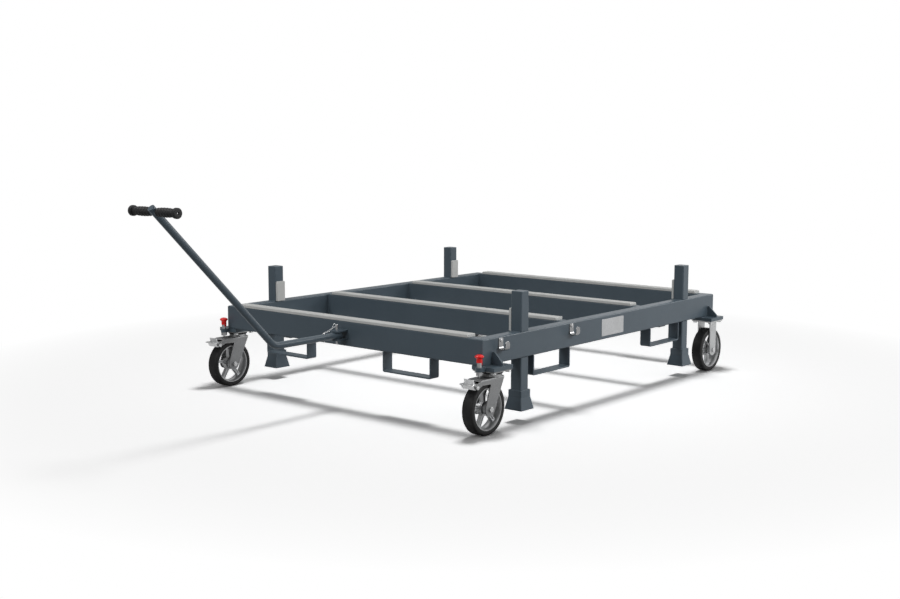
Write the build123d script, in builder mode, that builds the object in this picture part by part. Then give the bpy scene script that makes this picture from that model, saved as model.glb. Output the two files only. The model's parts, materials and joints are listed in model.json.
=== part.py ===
from build123d import *
from math import cos, radians, sin, tan
import os

os.makedirs("parts", exist_ok=True)

# A flat stacking cart, in mm: X runs across it, Y from the drawbar to the rear, Z up from the floor.

# Frame tubes
frame_width = 1420.0
frame_length = 1745.0
deck_height = 355.0
beam_height = 100.0
beam_width = 50.0
beam_wall = 3.0
beam_corner = 6.0
cross_member_count = 2

# Wear strips on the deck
deck_pad_thickness = 12.0
deck_pad_width = 48.0
deck_pad_end_gap = 23.0
pad_edge = 2.0

# Stanchions and their wear strips
post_size = 50.0
post_wall = 3.0
post_corner = 6.0
post_height = 155.0
swing_clearance = 10.5
post_lid = 5.0
post_top_edge = 2.5
post_pad_thickness = 10.0
post_pad_width = 46.0
post_pad_height = 88.0

# Legs and flared stacking feet
foot_ground_gap = 52.0
foot_flare_height = 49.0
foot_collar_height = 27.0
foot_collar_wall = 6.0
foot_base = 83.0
foot_corner = 4.0
foot_wall = 4.5
leg_insert = 20.0
socket_play = 1.5

# Fork pockets of bent flat bar
pocket_width = 248.0
pocket_depth = 80.0
pocket_bar = 6.0
pocket_bend = 8.0
end_pocket_spacing = 670.0
side_pocket_gap = 31.0

# Welded caster brackets
bracket_length = 113.0
bracket_width = 105.0
bracket_thickness = 15.0
gusset_reach = 50.0
gusset_height = 48.0
gusset_top = 10.0
gusset_toe = 8.0
gusset_thickness = 7.0
gusset_setback = 61.5
tongue_width = 28.0

# Caster plates and their bolts
head_plate_length = 108.0
head_plate_width = 100.0
head_plate_thickness = 5.0
bolt_spacing_x = 78.0
bolt_spacing_y = 86.0
bolt_diameter = 10.0
bolt_head_flats = 17.0
bolt_head_height = 6.4
bolt_thread = 11.0
bolt_hole_depth = 12.0
bolt_play = 0.5

# Swivel heads
race_radius = 39.0
race_height = 7.5
lower_race_height = 11.0
race_taper = 2.0
race_gap = 0.5
kingpin_radius = 8.0
kingpin_nut_radius = 13.0
kingpin_nut_height = 7.5

# Caster forks
trail = 52.0
wheel_play = 2.5
fork_thickness = 5.0
fork_bend = 6.0
crown_clearance = 11.0
crown_rear = 33.0
crown_front = 97.0
fork_eye_radius = 26.0
fork_waist = 40.0
arm_reach = 142.0
arm_tip_drop = 18.0
arm_root_drop = 25.0
arm_underside_drop = 20.0
arm_chin_drop = 9.0
arm_corner = 6.0
fixed_fork_width = 58.0
fixed_fork_plate = 6.0

# Wheels
wheel_width = 50.0
tyre_round = 8.0
tyre_edge = 2.0
tyre_depth = 19.5
rim_wall = 9.0
rim_inset = 2.0
rim_dish = 6.0
hub_play = 1.0
hub_boss_radius = 22.0
hub_boss_length = 13.0
hub_neck_radius = 13.0
hub_core_radius = 8.5
hub_web_radius = 27.0
hub_web_fillet = 5.0
spoke_count = 5
spoke_root_width = 13.5
spoke_tip_width = 12.5
spoke_flare = 5.0
spoke_thickness = 18.0
spoke_groove_width = 5.0
spoke_groove_depth = 3.5
bearing_radius = 16.0
bearing_width = 10.0
axle_radius = 6.0
axle_head_flats = 19.0
axle_head_height = 8.0
axle_nut_height = 10.0
axle_thread_end = 3.0
running_clearance = 0.05

# Turn of the spokes on each wheel, seen from the right
spoke_turn = {"front_left": 22.0, "front_right": 27.0, "rear_left": 46.0, "rear_right": 56.0}

# Brake pedals
pedal_pivot_reach = 129.0
pedal_pivot_drop = 24.0
pedal_bolt_radius = 4.0
pedal_bolt_head_radius = 7.5
pedal_bolt_head_height = 4.0
pedal_sheet = 3.5
pedal_play = 0.5
pedal_tread_drop = 15.0
pedal_tread_rear = 116.0
pedal_tongue_rear = 144.0
pedal_tongue_reach = 161.0
pedal_tongue_width = 60.0
pedal_apron_reach = 147.0
pedal_apron_foot = 139.0
pedal_apron_drop = 32.0
pedal_tab_width = 44.0
pedal_tab_reach = 134.0
pedal_tab_rise = 5.0

# Direction locks
lock_reach = 21.0
lock_pin_radius = 4.0
lock_hole_play = 0.5
lock_lift = 2.5
lock_stroke = 10.0
guide_thread_radius = 8.0
guide_sleeve_radius = 9.25
guide_sleeve_height = 29.0
guide_nut_flats = 22.0
guide_nut_height = 14.0
knob_cap_radius = 17.0
knob_cap_height = 15.5
knob_flare_height = 5.5
knob_rim_height = 3.5
knob_skirt_radius = 11.0
knob_top_height = 49.0
knob_skirt_foot = 19.0
knob_key_length = 8.0
knob_slide_clearance = 0.3
knob_end_play = 2.0
knob_dome_radius = 18.0
knob_top_flat = 4.0
lock_pin_seat = 4.0
knob_key_turn = {"left": 8.0, "right": 50.0}

# Drawbar
pin_reach = 40.0
drawbar_drop = 53.0
drawbar_radius = 13.5
drawbar_wall = 2.5
drawbar_tail = 20.0
bend_reach = 375.0
handle_reach = 909.0
drawbar_rise = 45.0
drawbar_bend_radius = 60.0
drawbar_end = 21.0
drawbar_cap = 3.0
bush_radius = 9.0
ear_thickness = 6.0
ear_width = 44.0
ear_gap = 28.6
ear_clearance = 0.3
pin_radius = 5.0
pin_rise = 45.0
pin_drop = 34.0
pin_head_radius = 6.0
pin_head_height = 6.0
ring_radius = 7.0
ring_wire = 1.0
chain_reach = 73.0
chain_wire = 1.5
chain_sag = 3.0
chain_screw_radius = 3.0
chain_screw_head_radius = 5.5
chain_screw_head_height = 4.0

# T-handle
stub_radius = 11.0
stub_wall = 2.5
stub_reach = 122.0
stub_cap = 3.0
grip_reach = 128.0
grip_inner_gap = 1.5
grip_end_radius = 14.5
grip_belly = 2.6
grip_groove = 1.3
grip_rib_count = 8
grip_neck_width = 5.0
grip_bulb_radius = 19.0
grip_bulb_width = 16.0
grip_bulb_edge = 4.0
grip_end_hole_radius = 4.5

# Drawbar hooks on the right rail
hook_front_setback = 108.0
hook_spacing = 462.0
hook_bar = 3.0
hook_width = 26.0
hook_reach = 34.5
hook_bend = 16.0
hook_foot_drop = 51.0
hook_top_drop = 5.0
hook_tip_drop = 15.0
hook_tip_round = 12.0
hook_corner = 4.0
hook_screw_drop = 14.0
hook_screw_radius = 3.0
hook_screw_head_radius = 6.0
hook_screw_head_height = 3.5

# Heights below the deck; the wheels fill the space that the casters leave above the floor
beam_bottom = deck_height - beam_height
beam_mid = deck_height - beam_height / 2
mount_height = beam_bottom - bracket_thickness
race_bottom = mount_height - head_plate_thickness - race_height
crown_top = race_bottom - race_gap - lower_race_height
crown_bottom = crown_top - fork_thickness
wheel_diameter = crown_bottom - crown_clearance
wheel_radius = wheel_diameter / 2

# Casters
rim_radius = wheel_radius - tyre_depth
rim_width = wheel_width - 2 * rim_inset
tyre_shoulder = wheel_radius - tyre_round
tread_width = wheel_width - 2 * tyre_round
fork_gap = wheel_width + 2 * wheel_play
fork_half = fork_gap / 2 + fork_thickness
hub_width = fork_gap - 2 * hub_play
arm_tip_height = crown_top - arm_tip_drop
arm_root_height = crown_top - arm_root_drop
arm_underside_height = crown_top - arm_underside_drop
pedal_pivot_height = crown_top - pedal_pivot_drop
pedal_tread_height = crown_top - pedal_tread_drop
pedal_apron_height = crown_top - pedal_apron_drop
pedal_tab_top = crown_top + pedal_tab_rise

# Drawbar and hooks
rise = radians(drawbar_rise)
drawbar_height = deck_height - drawbar_drop
handle_height = drawbar_height + (handle_reach - bend_reach) * tan(rise)
pin_top = drawbar_height + pin_rise
pin_foot = drawbar_height - pin_drop
hook_foot = deck_height - hook_foot_drop
hook_top = deck_height - hook_top_drop
hook_tip = deck_height - hook_tip_drop
hook_screw_height = deck_height - hook_screw_drop

# The origin is on the floor, midway between the handle's reach and the rear wheels' reach.
front_overhang = handle_reach + drawbar_end * cos(rise) + drawbar_radius * sin(rise)
rear_overhang = wheel_radius - bracket_length / 2
frame_y = (front_overhang - rear_overhang) / 2
front_y = frame_y - frame_length / 2
rear_y = frame_y + frame_length / 2

# Places; the posts and feet stand clear of the swivel casters' swing
post_x = frame_width / 2 - post_size / 2
post_setback = bracket_length / 2 + trail + wheel_radius + swing_clearance + foot_base / 2
post_spacing = frame_length - 2 * post_setback
side_pocket_spacing = post_spacing - post_size - pocket_width - 2 * side_pocket_gap
foot_collar_bottom = foot_ground_gap + foot_flare_height
foot_top = foot_collar_bottom + foot_collar_height
leg_bottom = foot_top - leg_insert
caster_x = frame_width / 2 - beam_width + bracket_width / 2
swivel_y = front_y + bracket_length / 2
fixed_y = rear_y - bracket_length / 2
front_wheel_y = swivel_y - trail
lock_y = front_y - lock_reach
pin_y = front_y - pin_reach
handle_y = front_y - handle_reach
pedal_pivot_y = swivel_y - pedal_pivot_reach

corners = {"front_left": (-1, -1), "front_right": (1, -1), "rear_left": (-1, 1), "rear_right": (1, 1)}
sides = {"left": -1, "right": 1}
ends = {"front": -1, "rear": 1}
post_spots = [(post_x * side, frame_y + post_spacing / 2 * end) for side, end in corners.values()]


def save(part, name):
    part.label = name
    export_step(part, f"parts/{name}.step")


def tube_section(width, height, wall, corner):
    RectangleRounded(width, height, corner)
    RectangleRounded(width - 2 * wall, height - 2 * wall, corner - wall, mode=Mode.SUBTRACT)


def side_plane(x, y):
    """Upright plane along the cart at x: local x runs to the rear from y, local y up from the floor."""
    return Plane(origin=(x, y, 0), x_dir=(0, 1, 0), z_dir=(1, 0, 0))


def cross_plane(y, x=0):
    """Upright plane across the cart at y: local x runs to the right from x, local y up from the floor."""
    return Plane(origin=(x, y, 0), x_dir=(1, 0, 0), z_dir=(0, -1, 0))


def level_plane(x, y, z):
    return Plane(origin=(x, y, z))


# Frame: two beams and two rails mitred at the corners, with cross-members between the rails


def end_beam(end):
    outer_y = frame_y + end * frame_length / 2
    with BuildPart() as beam:
        with BuildSketch(side_plane(-frame_width / 2, outer_y - end * beam_width / 2)):
            with Locations((0, beam_mid)):
                tube_section(beam_width, beam_height, beam_wall, beam_corner)
        extrude(amount=frame_width)
        for side in sides.values():
            mitre = Plane(origin=(side * frame_width / 2, outer_y, 0), z_dir=(side, -end, 0))
            split(bisect_by=mitre, keep=Keep.BOTTOM)
    return beam.part


def side_rail(side):
    with BuildPart() as rail:
        with BuildSketch(cross_plane(rear_y)):
            with Locations((side * (frame_width - beam_width) / 2, beam_mid)):
                tube_section(beam_width, beam_height, beam_wall, beam_corner)
        extrude(amount=frame_length)
        for end in ends.values():
            outer_y = frame_y + end * frame_length / 2
            mitre = Plane(origin=(side * frame_width / 2, outer_y, 0), z_dir=(side, -end, 0))
            split(bisect_by=mitre, keep=Keep.TOP)
    return rail.part


for name, end in ends.items():
    save(end_beam(end), f"{name}_beam")
for name, side in sides.items():
    save(side_rail(side), f"{name}_rail")

member_pitch = (frame_length - beam_width) / (cross_member_count + 1)
inner_width = frame_width - 2 * beam_width

with BuildPart() as cross_members:
    with BuildSketch(side_plane(-inner_width / 2, frame_y)):
        with Locations((0, beam_mid)):
            with GridLocations(member_pitch, 1, cross_member_count, 1):
                tube_section(beam_width, beam_height, beam_wall, beam_corner)
    extrude(amount=inner_width)
save(cross_members.part, "cross_members")

# Wear strips

with BuildPart() as deck_pads:
    with BuildSketch(level_plane(0, frame_y, deck_height)):
        with GridLocations(1, member_pitch, 1, cross_member_count + 2):
            Rectangle(inner_width - 2 * deck_pad_end_gap, deck_pad_width)
    extrude(amount=deck_pad_thickness)
    chamfer(deck_pads.faces().group_by(Axis.Z)[-1].edges(), pad_edge)
save(deck_pads.part, "deck_pads")

with BuildPart() as stanchion_pads:
    with BuildSketch(level_plane(0, frame_y, deck_height)):
        with GridLocations(inner_width - post_pad_thickness, post_spacing, 2, 2):
            Rectangle(post_pad_thickness, post_pad_width)
    extrude(amount=post_pad_height)
    chamfer(stanchion_pads.faces().group_by(Axis.Z)[-1].edges(), pad_edge)
save(stanchion_pads.part, "stanchion_pads")

# Stanchions, legs and feet


def stanchion(x, y):
    with BuildPart() as post:
        with BuildSketch(level_plane(x, y, deck_height)):
            RectangleRounded(post_size, post_size, post_corner)
        extrude(amount=post_height)
        fillet(post.faces().sort_by(Axis.Z)[-1].edges(), post_top_edge)
        with BuildSketch(level_plane(x, y, deck_height)):
            RectangleRounded(post_size - 2 * post_wall, post_size - 2 * post_wall, post_corner - post_wall)
        extrude(amount=post_height - post_lid, mode=Mode.SUBTRACT)
    return post.part


def stacking_foot(x, y):
    collar = post_size + 2 * foot_collar_wall
    socket = post_size + 2 * socket_play
    mouth = foot_base - 2 * foot_wall
    with BuildPart() as foot:
        with BuildSketch(level_plane(x, y, foot_ground_gap)):
            RectangleRounded(foot_base, foot_base, foot_corner)
        with BuildSketch(level_plane(x, y, foot_collar_bottom)):
            RectangleRounded(collar, collar, foot_corner)
        loft()
        with BuildSketch(level_plane(x, y, foot_collar_bottom)):
            RectangleRounded(collar, collar, foot_corner)
        extrude(amount=foot_collar_height)
        with BuildSketch(level_plane(x, y, foot_ground_gap)):
            Rectangle(mouth, mouth)
        with BuildSketch(level_plane(x, y, foot_collar_bottom)):
            Rectangle(socket, socket)
        loft(mode=Mode.SUBTRACT)
        with BuildSketch(level_plane(x, y, foot_collar_bottom)):
            Rectangle(socket, socket)
        extrude(amount=leg_bottom - foot_collar_bottom, mode=Mode.SUBTRACT)
        with BuildSketch(level_plane(x, y, leg_bottom)):
            Rectangle(post_size, post_size)
        extrude(amount=leg_insert, mode=Mode.SUBTRACT)
    return foot.part


for name, (x, y) in zip(corners, post_spots):
    save(stanchion(x, y), f"stanchion_{name}")
    save(stacking_foot(x, y), f"stacking_foot_{name}")

with BuildPart() as stacking_legs:
    with BuildSketch(level_plane(0, 0, leg_bottom)):
        with Locations(*post_spots):
            tube_section(post_size, post_size, post_wall, post_corner)
    extrude(amount=beam_bottom - leg_bottom)
save(stacking_legs.part, "stacking_legs")

# Fork pockets: flat bar bent to a U and welded under the frame


def fork_pockets(plane, spacing, inward):
    """Two pockets under one side; plane stands on its outer face, inward is 1 along the normal or -1."""
    half = pocket_width / 2
    low = beam_bottom - pocket_depth
    with BuildPart() as pockets:
        for place in (-spacing / 2, spacing / 2):
            with BuildSketch(plane):
                with BuildLine():
                    FilletPolyline(
                        (place - half, beam_bottom),
                        (place - half, low),
                        (place + half, low),
                        (place + half, beam_bottom),
                        radius=pocket_bend,
                    )
                    offset(amount=pocket_bar, side=Side.LEFT)
                make_face()
            extrude(amount=inward * beam_width)
    return pockets.part


for name, end in ends.items():
    outer = cross_plane(frame_y + end * frame_length / 2)
    save(fork_pockets(outer, end_pocket_spacing, end), f"fork_pockets_{name}")
for name, side in sides.items():
    outer = side_plane(side * frame_width / 2, frame_y)
    save(fork_pockets(outer, side_pocket_spacing, -side), f"fork_pockets_{name}")

# Caster brackets; the front ones have a tongue for the direction lock


def caster_bracket(side, end):
    x = side * caster_x
    y = swivel_y if end < 0 else fixed_y
    rail_face = side * frame_width / 2
    gusset_y = y - bracket_length / 2 + gusset_setback
    with BuildPart() as bracket:
        with BuildSketch(level_plane(x, y, mount_height)):
            Rectangle(bracket_width, bracket_length)
            if end < 0:
                with Locations((0, lock_y - y)):
                    Circle(tongue_width / 2)
                with Locations((0, (lock_y - y) / 2)):
                    Rectangle(tongue_width, y - lock_y)
                with Locations((0, lock_y - y)):
                    Circle(guide_thread_radius, mode=Mode.SUBTRACT)
        extrude(amount=bracket_thickness)
        with BuildSketch(level_plane(x, y, mount_height)):
            with GridLocations(bolt_spacing_x, bolt_spacing_y, 2, 2):
                Circle(bolt_diameter / 2 + running_clearance)
        extrude(amount=bolt_hole_depth, mode=Mode.SUBTRACT)
        with BuildSketch(cross_plane(gusset_y)):
            Polygon(
                (rail_face, beam_bottom),
                (rail_face + side * gusset_reach, beam_bottom),
                (rail_face + side * gusset_reach, beam_bottom + gusset_toe),
                (rail_face + side * gusset_top, beam_bottom + gusset_height),
                (rail_face, beam_bottom + gusset_height),
            )
        extrude(amount=gusset_thickness / 2, both=True)
    return bracket.part


for name, (side, end) in corners.items():
    save(caster_bracket(side, end), f"caster_bracket_{name}")

# Plate bolts

with BuildPart() as caster_bolts:
    for depth, y in ((head_plate_thickness, swivel_y), (fixed_fork_plate, fixed_y)):
        with BuildSketch(level_plane(0, y, mount_height - depth - bolt_head_height)):
            with GridLocations(2 * caster_x, 1, 2, 1):
                with GridLocations(bolt_spacing_x, bolt_spacing_y, 2, 2):
                    RegularPolygon(bolt_head_flats / 2, 6, major_radius=False)
        extrude(amount=bolt_head_height)
        with BuildSketch(level_plane(0, y, mount_height - depth)):
            with GridLocations(2 * caster_x, 1, 2, 1):
                with GridLocations(bolt_spacing_x, bolt_spacing_y, 2, 2):
                    Circle(bolt_diameter / 2)
        extrude(amount=depth + bolt_thread)
save(caster_bolts.part, "caster_bolts")

# Swivel heads: plate, upper race and kingpin with its nut

with BuildPart() as swivel_top_plates:
    with BuildSketch(level_plane(0, swivel_y, mount_height - head_plate_thickness)):
        with GridLocations(2 * caster_x, 1, 2, 1):
            Rectangle(head_plate_width, head_plate_length)
            with GridLocations(bolt_spacing_x, bolt_spacing_y, 2, 2):
                Circle(bolt_diameter / 2 + bolt_play, mode=Mode.SUBTRACT)
    extrude(amount=head_plate_thickness)
    for x in (-caster_x, caster_x):
        nut_top = crown_bottom - race_gap
        with BuildSketch(cross_plane(swivel_y, x)):
            Polygon(
                (0, race_bottom + race_height),
                (race_radius, race_bottom + race_height),
                (race_radius - race_taper, race_bottom),
                (kingpin_radius, race_bottom),
                (kingpin_radius, nut_top),
                (kingpin_nut_radius, nut_top),
                (kingpin_nut_radius, nut_top - kingpin_nut_height),
                (0, nut_top - kingpin_nut_height),
            )
        revolve(axis=Axis((x, swivel_y, 0), (0, 0, 1)))
save(swivel_top_plates.part, "swivel_top_plates")

# Swivel forks: a pressed channel cut to the shape of the cheeks, with the lower race on its crown


def swivel_fork(side):
    x = side * caster_x
    cheek = side_plane(x, swivel_y)
    bore = kingpin_radius + running_clearance
    race_top = race_bottom - race_gap
    with BuildPart() as fork:
        with BuildSketch(cross_plane(swivel_y + crown_rear, x)) as channel:
            with Locations((0, crown_top / 2)):
                Rectangle(2 * fork_half, crown_top)
            fillet(channel.vertices().group_by(Axis.Y)[-1], fork_bend)
            with Locations((0, crown_bottom / 2)):
                Rectangle(fork_gap, crown_bottom, mode=Mode.SUBTRACT)
        extrude(amount=crown_rear + arm_reach)
        with BuildSketch(cheek):
            with Locations((-trail, wheel_radius)):
                Circle(fork_eye_radius)
            Polygon(
                (crown_rear, crown_top),
                (-fork_waist, crown_top),
                (-fork_waist, arm_root_height),
            )
            make_hull()
            with BuildLine():
                FilletPolyline(
                    (0, crown_top),
                    (-crown_front, crown_top),
                    (-arm_reach, arm_tip_height),
                    (-pedal_pivot_reach, pedal_pivot_height - arm_chin_drop),
                    (-crown_front, arm_underside_height),
                    (0, arm_root_height),
                    radius=arm_corner,
                )
                Line((0, arm_root_height), (0, crown_top))
            make_face()
        extrude(amount=fork_half, both=True, mode=Mode.INTERSECT)
        with BuildSketch(cross_plane(swivel_y, x)):
            Polygon(
                (bore, crown_top),
                (race_radius - race_taper, crown_top),
                (race_radius - 2 * race_taper, race_top),
                (bore, race_top),
            )
        revolve(axis=Axis((x, swivel_y, 0), (0, 0, 1)))
        with BuildSketch(level_plane(x, swivel_y, crown_bottom)):
            Circle(bore)
            with Locations((0, lock_y - swivel_y)):
                Circle(lock_pin_radius + lock_hole_play)
        extrude(amount=fork_thickness, mode=Mode.SUBTRACT)
        with BuildSketch(cheek):
            with Locations((-trail, wheel_radius)):
                Circle(axle_radius + running_clearance)
            with Locations((-pedal_pivot_reach, pedal_pivot_height)):
                Circle(pedal_bolt_radius + running_clearance)
        extrude(amount=fork_half, both=True, mode=Mode.SUBTRACT)
    return fork.part


def axle_bolt(side, x, y):
    """Axle with its hex head outside the fork and its nut inside; side is the outer direction."""
    outside = side_plane(x + side * fork_half, y)
    inside = side_plane(x - side * fork_half, y)
    with BuildPart() as axle:
        with BuildSketch(inside):
            with Locations((0, wheel_radius)):
                Circle(axle_radius)
        extrude(amount=side * 2 * fork_half)
        with BuildSketch(outside):
            with Locations((0, wheel_radius)):
                RegularPolygon(axle_head_flats / 2, 6, major_radius=False)
        extrude(amount=side * axle_head_height)
        with BuildSketch(inside):
            with Locations((0, wheel_radius)):
                RegularPolygon(axle_head_flats / 2, 6, major_radius=False)
        extrude(amount=-side * axle_nut_height)
        with BuildSketch(inside):
            with Locations((0, wheel_radius)):
                Circle(axle_radius)
        extrude(amount=-side * (axle_nut_height + axle_thread_end))
    return axle.part


def fork_bolts(side):
    """The axle bolt and the pedal's pivot bolt of one swivel fork."""
    x = side * caster_x
    with BuildPart() as bolts:
        add(axle_bolt(side, x, front_wheel_y))
        with BuildSketch(side_plane(x, pedal_pivot_y)):
            with Locations((0, pedal_pivot_height)):
                Circle(pedal_bolt_radius)
        extrude(amount=fork_half, both=True)
        for outward in (-1, 1):
            with BuildSketch(side_plane(x + outward * fork_half, pedal_pivot_y)):
                with Locations((0, pedal_pivot_height)):
                    Circle(pedal_bolt_head_radius)
            extrude(amount=outward * pedal_bolt_head_height)
    return bolts.part


def brake_pedal(side):
    x = side * caster_x
    profile = side_plane(x, swivel_y)
    half = fork_gap / 2 - pedal_play
    tread_depth = pedal_tongue_rear - pedal_tread_rear
    tongue_depth = pedal_tongue_reach - pedal_tongue_rear
    tread_top = pedal_tread_height + pedal_sheet
    with BuildPart() as pedal:
        with BuildSketch(level_plane(x, swivel_y, pedal_tread_height)) as plan:
            with Locations((0, -pedal_tongue_rear - tongue_depth / 2)):
                Rectangle(pedal_tongue_width, tongue_depth)
            fillet(plan.vertices().group_by(Axis.Y)[0], tongue_depth / 2)
            with Locations((0, -pedal_tread_rear - tread_depth / 2)):
                Rectangle(2 * half, tread_depth)
        extrude(amount=pedal_sheet)
        with BuildSketch(profile):
            Polygon(
                (-pedal_tread_rear, tread_top),
                (-pedal_tread_rear, pedal_pivot_height),
                (-pedal_pivot_reach, pedal_apron_height),
                (-pedal_apron_foot, pedal_apron_height),
                (-pedal_apron_reach, tread_top),
            )
        extrude(amount=half, both=True)
        with BuildSketch(profile):
            Polygon(
                (-pedal_tread_rear, pedal_tread_height),
                (-pedal_tread_rear, pedal_apron_height),
                (-pedal_apron_foot + pedal_sheet, pedal_apron_height),
                (-pedal_apron_reach + pedal_sheet, pedal_tread_height),
            )
        extrude(amount=half - pedal_sheet, both=True, mode=Mode.SUBTRACT)
        with BuildSketch(profile):
            Polygon(
                (-pedal_tab_reach, tread_top),
                (-pedal_tab_reach - pedal_sheet, tread_top),
                (-pedal_tab_reach - 2 * pedal_sheet, pedal_tab_top),
                (-pedal_tab_reach - pedal_sheet, pedal_tab_top),
            )
        extrude(amount=pedal_tab_width / 2, both=True)
        with BuildSketch(profile):
            with Locations((-pedal_pivot_reach, pedal_pivot_height)):
                Circle(pedal_bolt_radius + running_clearance)
        extrude(amount=half, both=True, mode=Mode.SUBTRACT)
    return pedal.part


for name, side in sides.items():
    save(swivel_fork(side), f"swivel_fork_{name}")
    save(fork_bolts(side), f"fork_bolts_{name}")
    save(brake_pedal(side), f"brake_pedal_{name}")

# Fixed casters at the rear


def fixed_fork(side):
    x = side * caster_x
    plate_bottom = mount_height - fixed_fork_plate
    cheek = side_plane(x, fixed_y)
    with BuildPart() as fork:
        with BuildSketch(level_plane(x, fixed_y, plate_bottom)):
            Rectangle(head_plate_width, head_plate_length)
            with GridLocations(bolt_spacing_x, bolt_spacing_y, 2, 2):
                Circle(bolt_diameter / 2 + bolt_play, mode=Mode.SUBTRACT)
        extrude(amount=fixed_fork_plate)
        with BuildSketch(cheek):
            with Locations((0, wheel_radius)):
                Circle(fork_eye_radius)
            with Locations((0, plate_bottom - fork_bend / 2)):
                Rectangle(fixed_fork_width, fork_bend)
            make_hull()
            with Locations((0, wheel_radius)):
                Circle(axle_radius + running_clearance, mode=Mode.SUBTRACT)
        extrude(amount=fork_half, both=True)
        with BuildSketch(cheek):
            with Locations((0, plate_bottom / 2)):
                Rectangle(2 * fixed_fork_width, plate_bottom)
        extrude(amount=fork_gap / 2, both=True, mode=Mode.SUBTRACT)
    return fork.part


for name, side in sides.items():
    save(fixed_fork(side), f"fixed_fork_{name}")

with BuildPart() as rear_axles:
    for side in sides.values():
        add(axle_bolt(side, side * caster_x, fixed_y))
save(rear_axles.part, "rear_axles")

# Wheels


def spun(x, y):
    """Half-section plane of a wheel: local x is the radius, local y runs along the axle to the right."""
    return Plane(origin=(x, y, wheel_radius), x_dir=(0, 1, 0), z_dir=(0, 0, -1))


def wheel_rim(x, y, turn):
    axle = Axis((x, y, wheel_radius), (1, 0, 0))
    face = Plane(origin=(x, y, wheel_radius), x_dir=(0, 1, 0), z_dir=(1, 0, 0))
    barrel_inner = rim_radius - rim_wall
    tip = barrel_inner + rim_dish
    groove_end = barrel_inner - spoke_flare
    boss_end = hub_width / 2
    boss_foot = boss_end - hub_boss_length
    neck_end = boss_foot - (hub_boss_radius - hub_neck_radius)
    with BuildPart() as rim:
        with BuildSketch(spun(x, y)):
            with BuildLine():
                Polyline(
                    (tip, rim_width / 2),
                    (rim_radius, rim_width / 2),
                    (rim_radius, -rim_width / 2),
                    (tip, -rim_width / 2),
                )
                ThreePointArc((tip, -rim_width / 2), (barrel_inner, 0), (tip, rim_width / 2))
            make_face()
            Polygon(
                (hub_core_radius, -boss_end),
                (hub_boss_radius, -boss_end),
                (hub_boss_radius, -boss_foot),
                (hub_neck_radius, -neck_end),
                (hub_neck_radius, neck_end),
                (hub_boss_radius, boss_foot),
                (hub_boss_radius, boss_end),
                (hub_core_radius, boss_end),
            )
        revolve(axis=axle)
        with BuildSketch(face) as star:
            Circle(hub_web_radius)
            with PolarLocations(0, spoke_count, start_angle=turn):
                Polygon(
                    (hub_neck_radius, -spoke_root_width / 2),
                    (groove_end, -spoke_tip_width / 2),
                    (tip, -spoke_tip_width / 2 - spoke_flare),
                    (tip, spoke_tip_width / 2 + spoke_flare),
                    (groove_end, spoke_tip_width / 2),
                    (hub_neck_radius, spoke_root_width / 2),
                )
            fillet(star.vertices().sort_by_distance((0, 0, 0))[: 2 * spoke_count], hub_web_fillet)
        extrude(amount=spoke_thickness / 2, both=True)
        for outward in (-1, 1):
            with BuildSketch(face.offset(outward * (spoke_thickness / 2 - spoke_groove_depth))):
                with PolarLocations((hub_web_radius + groove_end) / 2, spoke_count, start_angle=turn):
                    Rectangle(groove_end - hub_web_radius, spoke_groove_width)
            extrude(amount=outward * spoke_groove_depth, mode=Mode.SUBTRACT)
        with BuildSketch(face):
            Circle(hub_core_radius)
        extrude(amount=hub_width / 2, both=True, mode=Mode.SUBTRACT)
        for outward in (-1, 1):
            with BuildSketch(face.offset(outward * hub_width / 2)):
                Circle(bearing_radius)
            extrude(amount=-outward * bearing_width, mode=Mode.SUBTRACT)
    return rim.part


def wheel_tyre(x, y):
    shoulder = wheel_radius - tyre_shoulder
    with BuildPart() as tyre:
        with BuildSketch(spun(x, y)):
            with BuildLine():
                Polyline(
                    (tyre_shoulder, wheel_width / 2),
                    (rim_radius + tyre_edge, wheel_width / 2),
                    (rim_radius, wheel_width / 2 - tyre_edge),
                    (rim_radius, -wheel_width / 2 + tyre_edge),
                    (rim_radius + tyre_edge, -wheel_width / 2),
                    (tyre_shoulder, -wheel_width / 2),
                )
                RadiusArc((tyre_shoulder, -wheel_width / 2), (wheel_radius, -tread_width / 2), shoulder)
                Line((wheel_radius, -tread_width / 2), (wheel_radius, tread_width / 2))
                RadiusArc((wheel_radius, tread_width / 2), (tyre_shoulder, wheel_width / 2), shoulder)
            make_face()
        revolve(axis=Axis((x, y, wheel_radius), (1, 0, 0)))
    return tyre.part


def wheel_bearings(x, y):
    with BuildPart() as bearings:
        for outward in (-1, 1):
            with BuildSketch(side_plane(x + outward * hub_width / 2, y)):
                with Locations((0, wheel_radius)):
                    Circle(bearing_radius)
                    Circle(axle_radius + running_clearance, mode=Mode.SUBTRACT)
            extrude(amount=-outward * bearing_width)
    return bearings.part


for name, (side, end) in corners.items():
    y = front_wheel_y if end < 0 else fixed_y
    save(wheel_rim(side * caster_x, y, spoke_turn[name]), f"wheel_rim_{name}")
    save(wheel_tyre(side * caster_x, y), f"wheel_tyre_{name}")
    save(wheel_bearings(side * caster_x, y), f"wheel_bearings_{name}")

# Direction locks: guide with nut in the bracket's tongue, red knob and steel pin

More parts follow.
